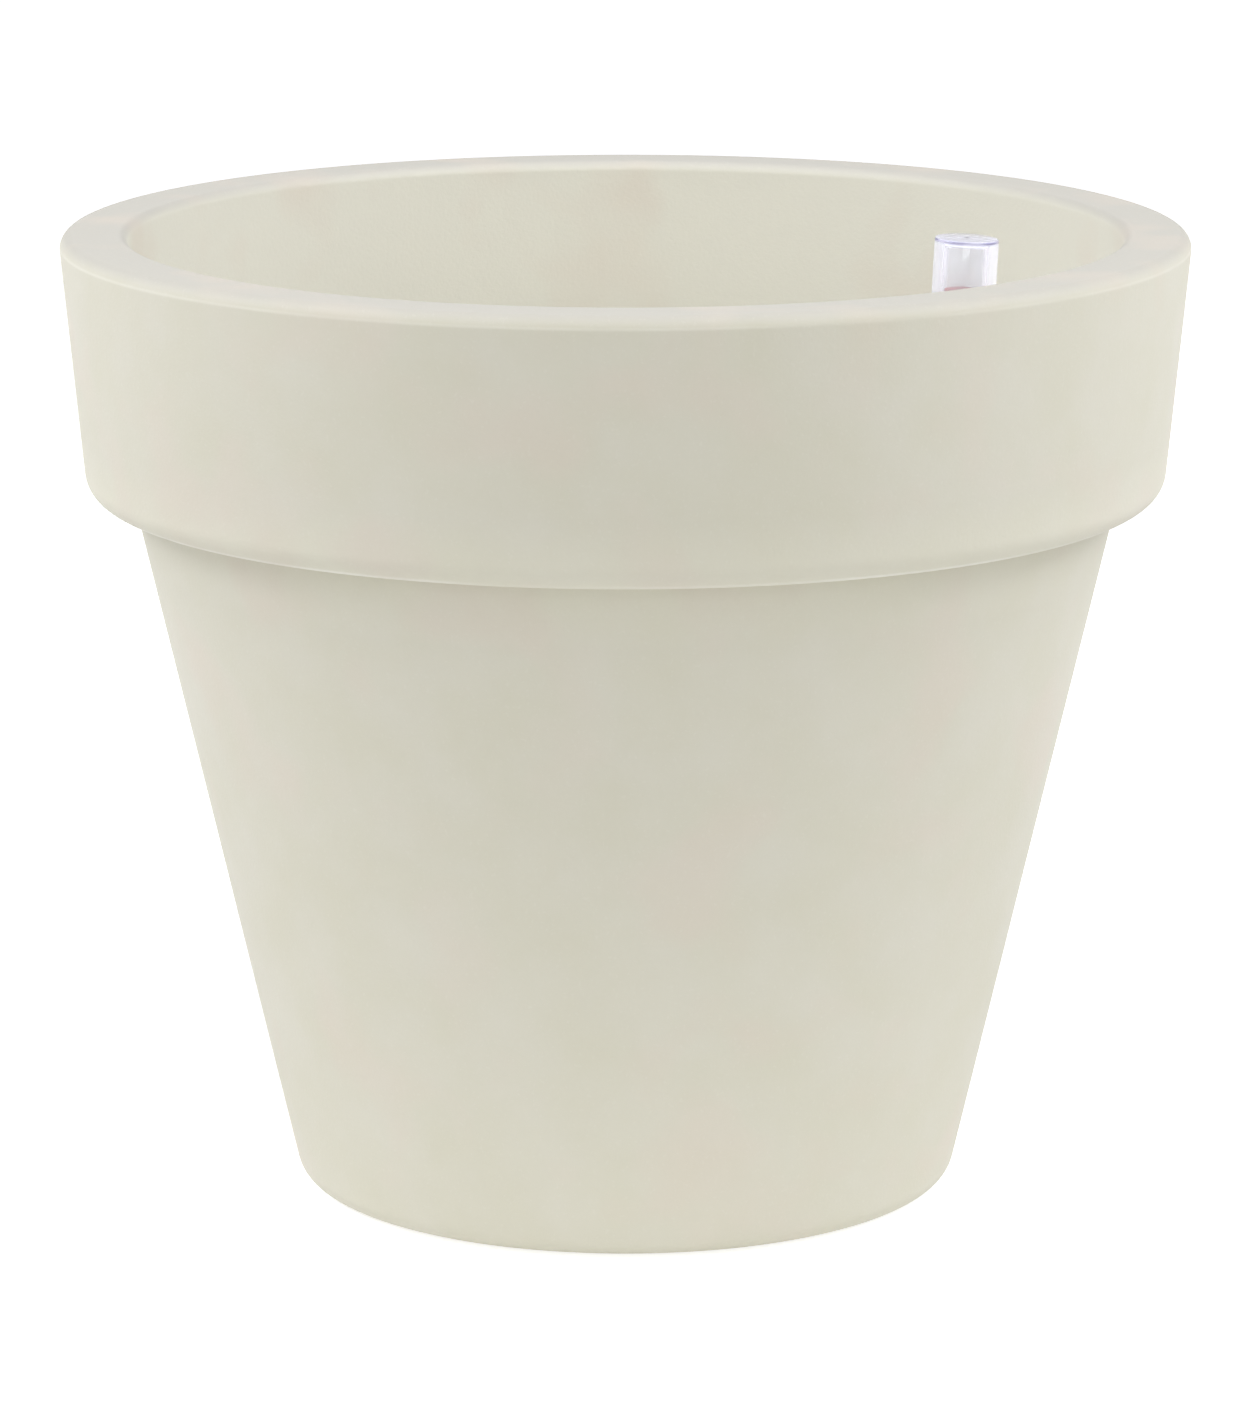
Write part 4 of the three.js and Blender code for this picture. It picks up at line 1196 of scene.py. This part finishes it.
grommet_bore_r = TUBE_R + FIT
grommet_wall_r = grommet_bore_r + GROMMET_WALL
grommet_flange_r = grommet_wall_r + GROMMET_FLANGE
grommet_foot = gauge_at_tray - TRAY_PLATE
grommet_lip = sleeve_top + FIT
grommet_top = grommet_lip + GROMMET_LIP
grommet = turned(
    "sleeve_seal",
    (grommet_bore_r, grommet_foot, EDGE_ROUND),
    (grommet_wall_r, grommet_foot, EDGE_ROUND),
    (grommet_wall_r, grommet_lip),
    (grommet_flange_r, grommet_lip, EDGE_ROUND),
    (grommet_flange_r, grommet_top, GROMMET_LIP_ROUND),
    (grommet_bore_r, grommet_top, EDGE_ROUND),
    material=rubber,
)
fitted(moved(grommet, leaning), "tube_grommet", "insert")

# Rod guide.
# A spider pushed into the tube's mouth: water passes between its three spokes, and its hub keeps the
# float's rod in the middle.
ROD_R = 0.0015
GUIDE_RING_WALL = 0.0015
GUIDE_HEIGHT = 0.008
GUIDE_HUB_R = 0.0034
GUIDE_SPOKES = 3
GUIDE_SPOKE_TURN = radians(30)
GUIDE_SPOKE_WIDTH = 0.0016
GUIDE_SPOKE_HEIGHT = 0.005
GUIDE_LIP = 0.0012

guide_r = tube_bore_r - FIT
guide_bore_r = guide_r - GUIDE_RING_WALL
guide_top = tube_end + FIT
guide_lip_top = guide_top + GUIDE_LIP
guide_bottom = guide_top - GUIDE_HEIGHT
guide = turned(
    "mouth_spider",
    (guide_bore_r, guide_bottom),
    (guide_r, guide_bottom, EDGE_ROUND),
    (guide_r, guide_top),
    (TUBE_R, guide_top),
    (TUBE_R, guide_lip_top, EDGE_ROUND),
    (guide_bore_r, guide_lip_top, EDGE_ROUND),
    material=tube_black,
)
spoke_end = guide_bore_r + GUIDE_RING_WALL / 2
spoke_z = guide_top - GUIDE_SPOKE_HEIGHT
spoke = bar("spoke", GUIDE_HUB_R / 2, spoke_end, GUIDE_SPOKE_WIDTH, spoke_z, guide_top, FIT)
joined(guide, spoke, ring_places(0, on_ring(GUIDE_SPOKES, GUIDE_SPOKE_TURN)))
joined(guide, rod("hub", GUIDE_HUB_R, guide_bottom, guide_top + FIT, POST_SIDES))
cut(guide, rod("guide_bore", ROD_R + FIT, guide_bottom - PAST, guide_top + PAST, POST_SIDES))
fitted(moved(guide, leaning), "rod_guide", "insert")

# Float.
# A short cylinder of white closed-cell foam that rides on the water in the foot of the tube. Its beads
# show as rounded cells, and a socket in its top takes the rod.
FLOAT_R = 0.008
FLOAT_LENGTH = 0.040
FLOAT_ROUND = 0.002
ROD_SOCKET = 0.012
BEAD = 0.0028

float_start = push_in_end + FIT
float_end = float_start + FLOAT_LENGTH
rod_start = float_end - ROD_SOCKET


def bead_foam():
    """White bead foam: each bead bulges a little and the seams between them are a shade darker."""
    material, place = new_material("white bead foam")
    place = along_gauge(place)
    cells = {"Vector": place, "Scale": 1 / BEAD}
    seams = flow(place.tree, "ShaderNodeTexVoronoi", cells, "Distance", feature="DISTANCE_TO_EDGE")
    bulge = stretched(seams, 0.0, 0.3)
    clouds = skin_of(place, clouds=0.02, grain=0.001)["Clouds"]
    tone = painted(
        blended(bulge, colour(226, 224, 216), colour(243, 242, 237)),
        (clouds * 0.2, colour(232, 229, 214)),
    )
    bump = bumped(bulge, depth=0.0002, strength=0.7)
    return surfaced(material, principled(place.tree, Base_Color=tone, Roughness=0.7, Normal=bump))


float_body = turned(
    "foam_float",
    (0, float_start),
    (FLOAT_R, float_start, FLOAT_ROUND),
    (FLOAT_R, float_end, FLOAT_ROUND),
    (ROD_R + FIT, float_end),
    (ROD_R + FIT, rod_start - FIT),
    (0, rod_start - FIT),
    material=bead_foam(),
)
fitted(moved(float_body, leaning), "float", "level_float")

# Float rod.
# A thin straight rod of natural white plastic, pressed into the float below and the red disc above.
DISC_HEIGHT = 0.008
DISC_BELOW_CAP_TOP = 0.0225
DISC_SOCKET = 0.005

disc_end = gauge_length - DISC_BELOW_CAP_TOP
disc_start = disc_end - DISC_HEIGHT
rod_end = disc_start + DISC_SOCKET - FIT
rod_white = extruded("natural white plastic", colour(226, 225, 219), colour(235, 234, 230), 0.32, 0.0006)
float_rod = rod("gauge_rod", ROD_R, rod_start, rod_end, SMALL_SIDES, rod_white)
fitted(moved(float_rod, leaning), "float_rod", "level_float")

# Indicator disc.
# The dark red plug on the rod's end that shows the water level through the clear head.
DISC_R = 0.0087
DISC_ROUND = 0.0012


def dark_red():
    """Satin dark red with faint darker flow marks and a few fine wipes in the gloss."""
    material, place = new_material("dark red plastic")
    skin = skin_of(along_gauge(place), clouds=0.004, grain=0.0004)
    tone = blended(skin["Clouds"] * 0.5, colour(128, 8, 12), colour(110, 6, 10))
    gloss = skin["Grain"] * 0.12 + 0.38
    return surfaced(material, principled(place.tree, Base_Color=tone, Roughness=gloss))


disc = turned(
    "red_level_mark",
    (0, disc_start + DISC_SOCKET),
    (ROD_R + FIT, disc_start + DISC_SOCKET),
    (ROD_R + FIT, disc_start),
    (DISC_R, disc_start, EDGE_ROUND),
    (DISC_R, disc_end, DISC_ROUND),
    (0, disc_end),
    material=dark_red(),
)
fitted(moved(disc, leaning), "indicator_disc", "level_float")

# Gauge head.
# A clear injection-moulded cap, gone milky, that stands on the tube's collar and pulls off for filling.
# Its top is thick, its edge is rounded, and a small gate mark is left in the middle of the top.
CAP_WALL = 0.0018
CAP_TOP = 0.0025
CAP_ROUND = 0.001
GATE_R = 0.0012
GATE_DEPTH = 0.0004

cap_bore_r = CAP_R - CAP_WALL


def clear_plastic():
    """Clear plastic gone milky: a painted white sheen on its slanting walls, painted violet reflection and
    shade on top.
    """
    material, place = new_material("clear plastic")
    tree = place.tree
    place = along_gauge(place)
    skin = skin_of(place, clouds=0.006, grain=0.0005)
    height = xyz_of(place)["Z"]
    wall = stretched(height, gauge_length - CAP_ROUND, gauge_length - CAP_TOP)
    # Painted reflection: the thick top edge darkens to violet, in clouds.
    edge = stretched(height, gauge_length, gauge_length - CAP_ROUND / 2) * (1 - wall)
    streaks = streaks_of(place, width=0.003)["Streaks"]
    sides = blended(streaks, colour(238, 239, 243), colour(246, 247, 249))
    # Painted dark violet reflection along the top edge.
    violet = edge * (skin["Clouds"] * 0.4 + 0.6)
    # Painted shade: the top face is greyer than the walls, and the top edge takes the painted violet
    # reflection.
    tone = painted(blended(wall, colour(212, 211, 220), sides), (violet, colour(40, 32, 88)))
    shader = principled(
        tree,
        Base_Color=tone,
        Roughness=skin["Grain"] * 0.05 + 0.03,
        IOR=1.49,
        Transmission_Weight=0.83,
        Sheen_Weight=0.6,
        Sheen_Roughness=0.3,
        Coat_Weight=wall * 0.5 + 0.2,
        Coat_Roughness=0.1,
    )
    # Painted sheen: a white diffuse is mixed into the walls where they slant away from the eye, for bright
    # bands of light in them.
    slant = flow(tree, "ShaderNodeLayerWeight", {"Blend": 0.5}, "Facing")
    painted_sheen = flow(tree, "ShaderNodeBsdfDiffuse", {"Color": colour(248, 248, 251)})
    with_painted_sheen = mixed(stretched(slant, 0.22, 0.36) * (wall * 0.6), shader, painted_sheen)
    shadow = flow(tree, "ShaderNodeLightPath", output="Is Shadow Ray")
    through = flow(tree, "ShaderNodeBsdfTransparent", {"Color": (0.94, 0.94, 0.97, 1)})
    return surfaced(material, mixed(shadow, with_painted_sheen, through))


head = turned(
    "clear_head",
    (0, gauge_length - CAP_TOP),
    (cap_bore_r, gauge_length - CAP_TOP, CAP_ROUND),
    (cap_bore_r, cap_start),
    (CAP_R, cap_start, EDGE_ROUND),
    (CAP_R, gauge_length, CAP_ROUND),
    (GATE_R, gauge_length),
    (GATE_R, gauge_length - GATE_DEPTH),
    (0, gauge_length - GATE_DEPTH),
    material=clear_plastic(),
)
fitted(moved(head, leaning), "gauge_cap", "gauge_head")

# Bring the scene up to date.
bpy.context.view_layer.update()
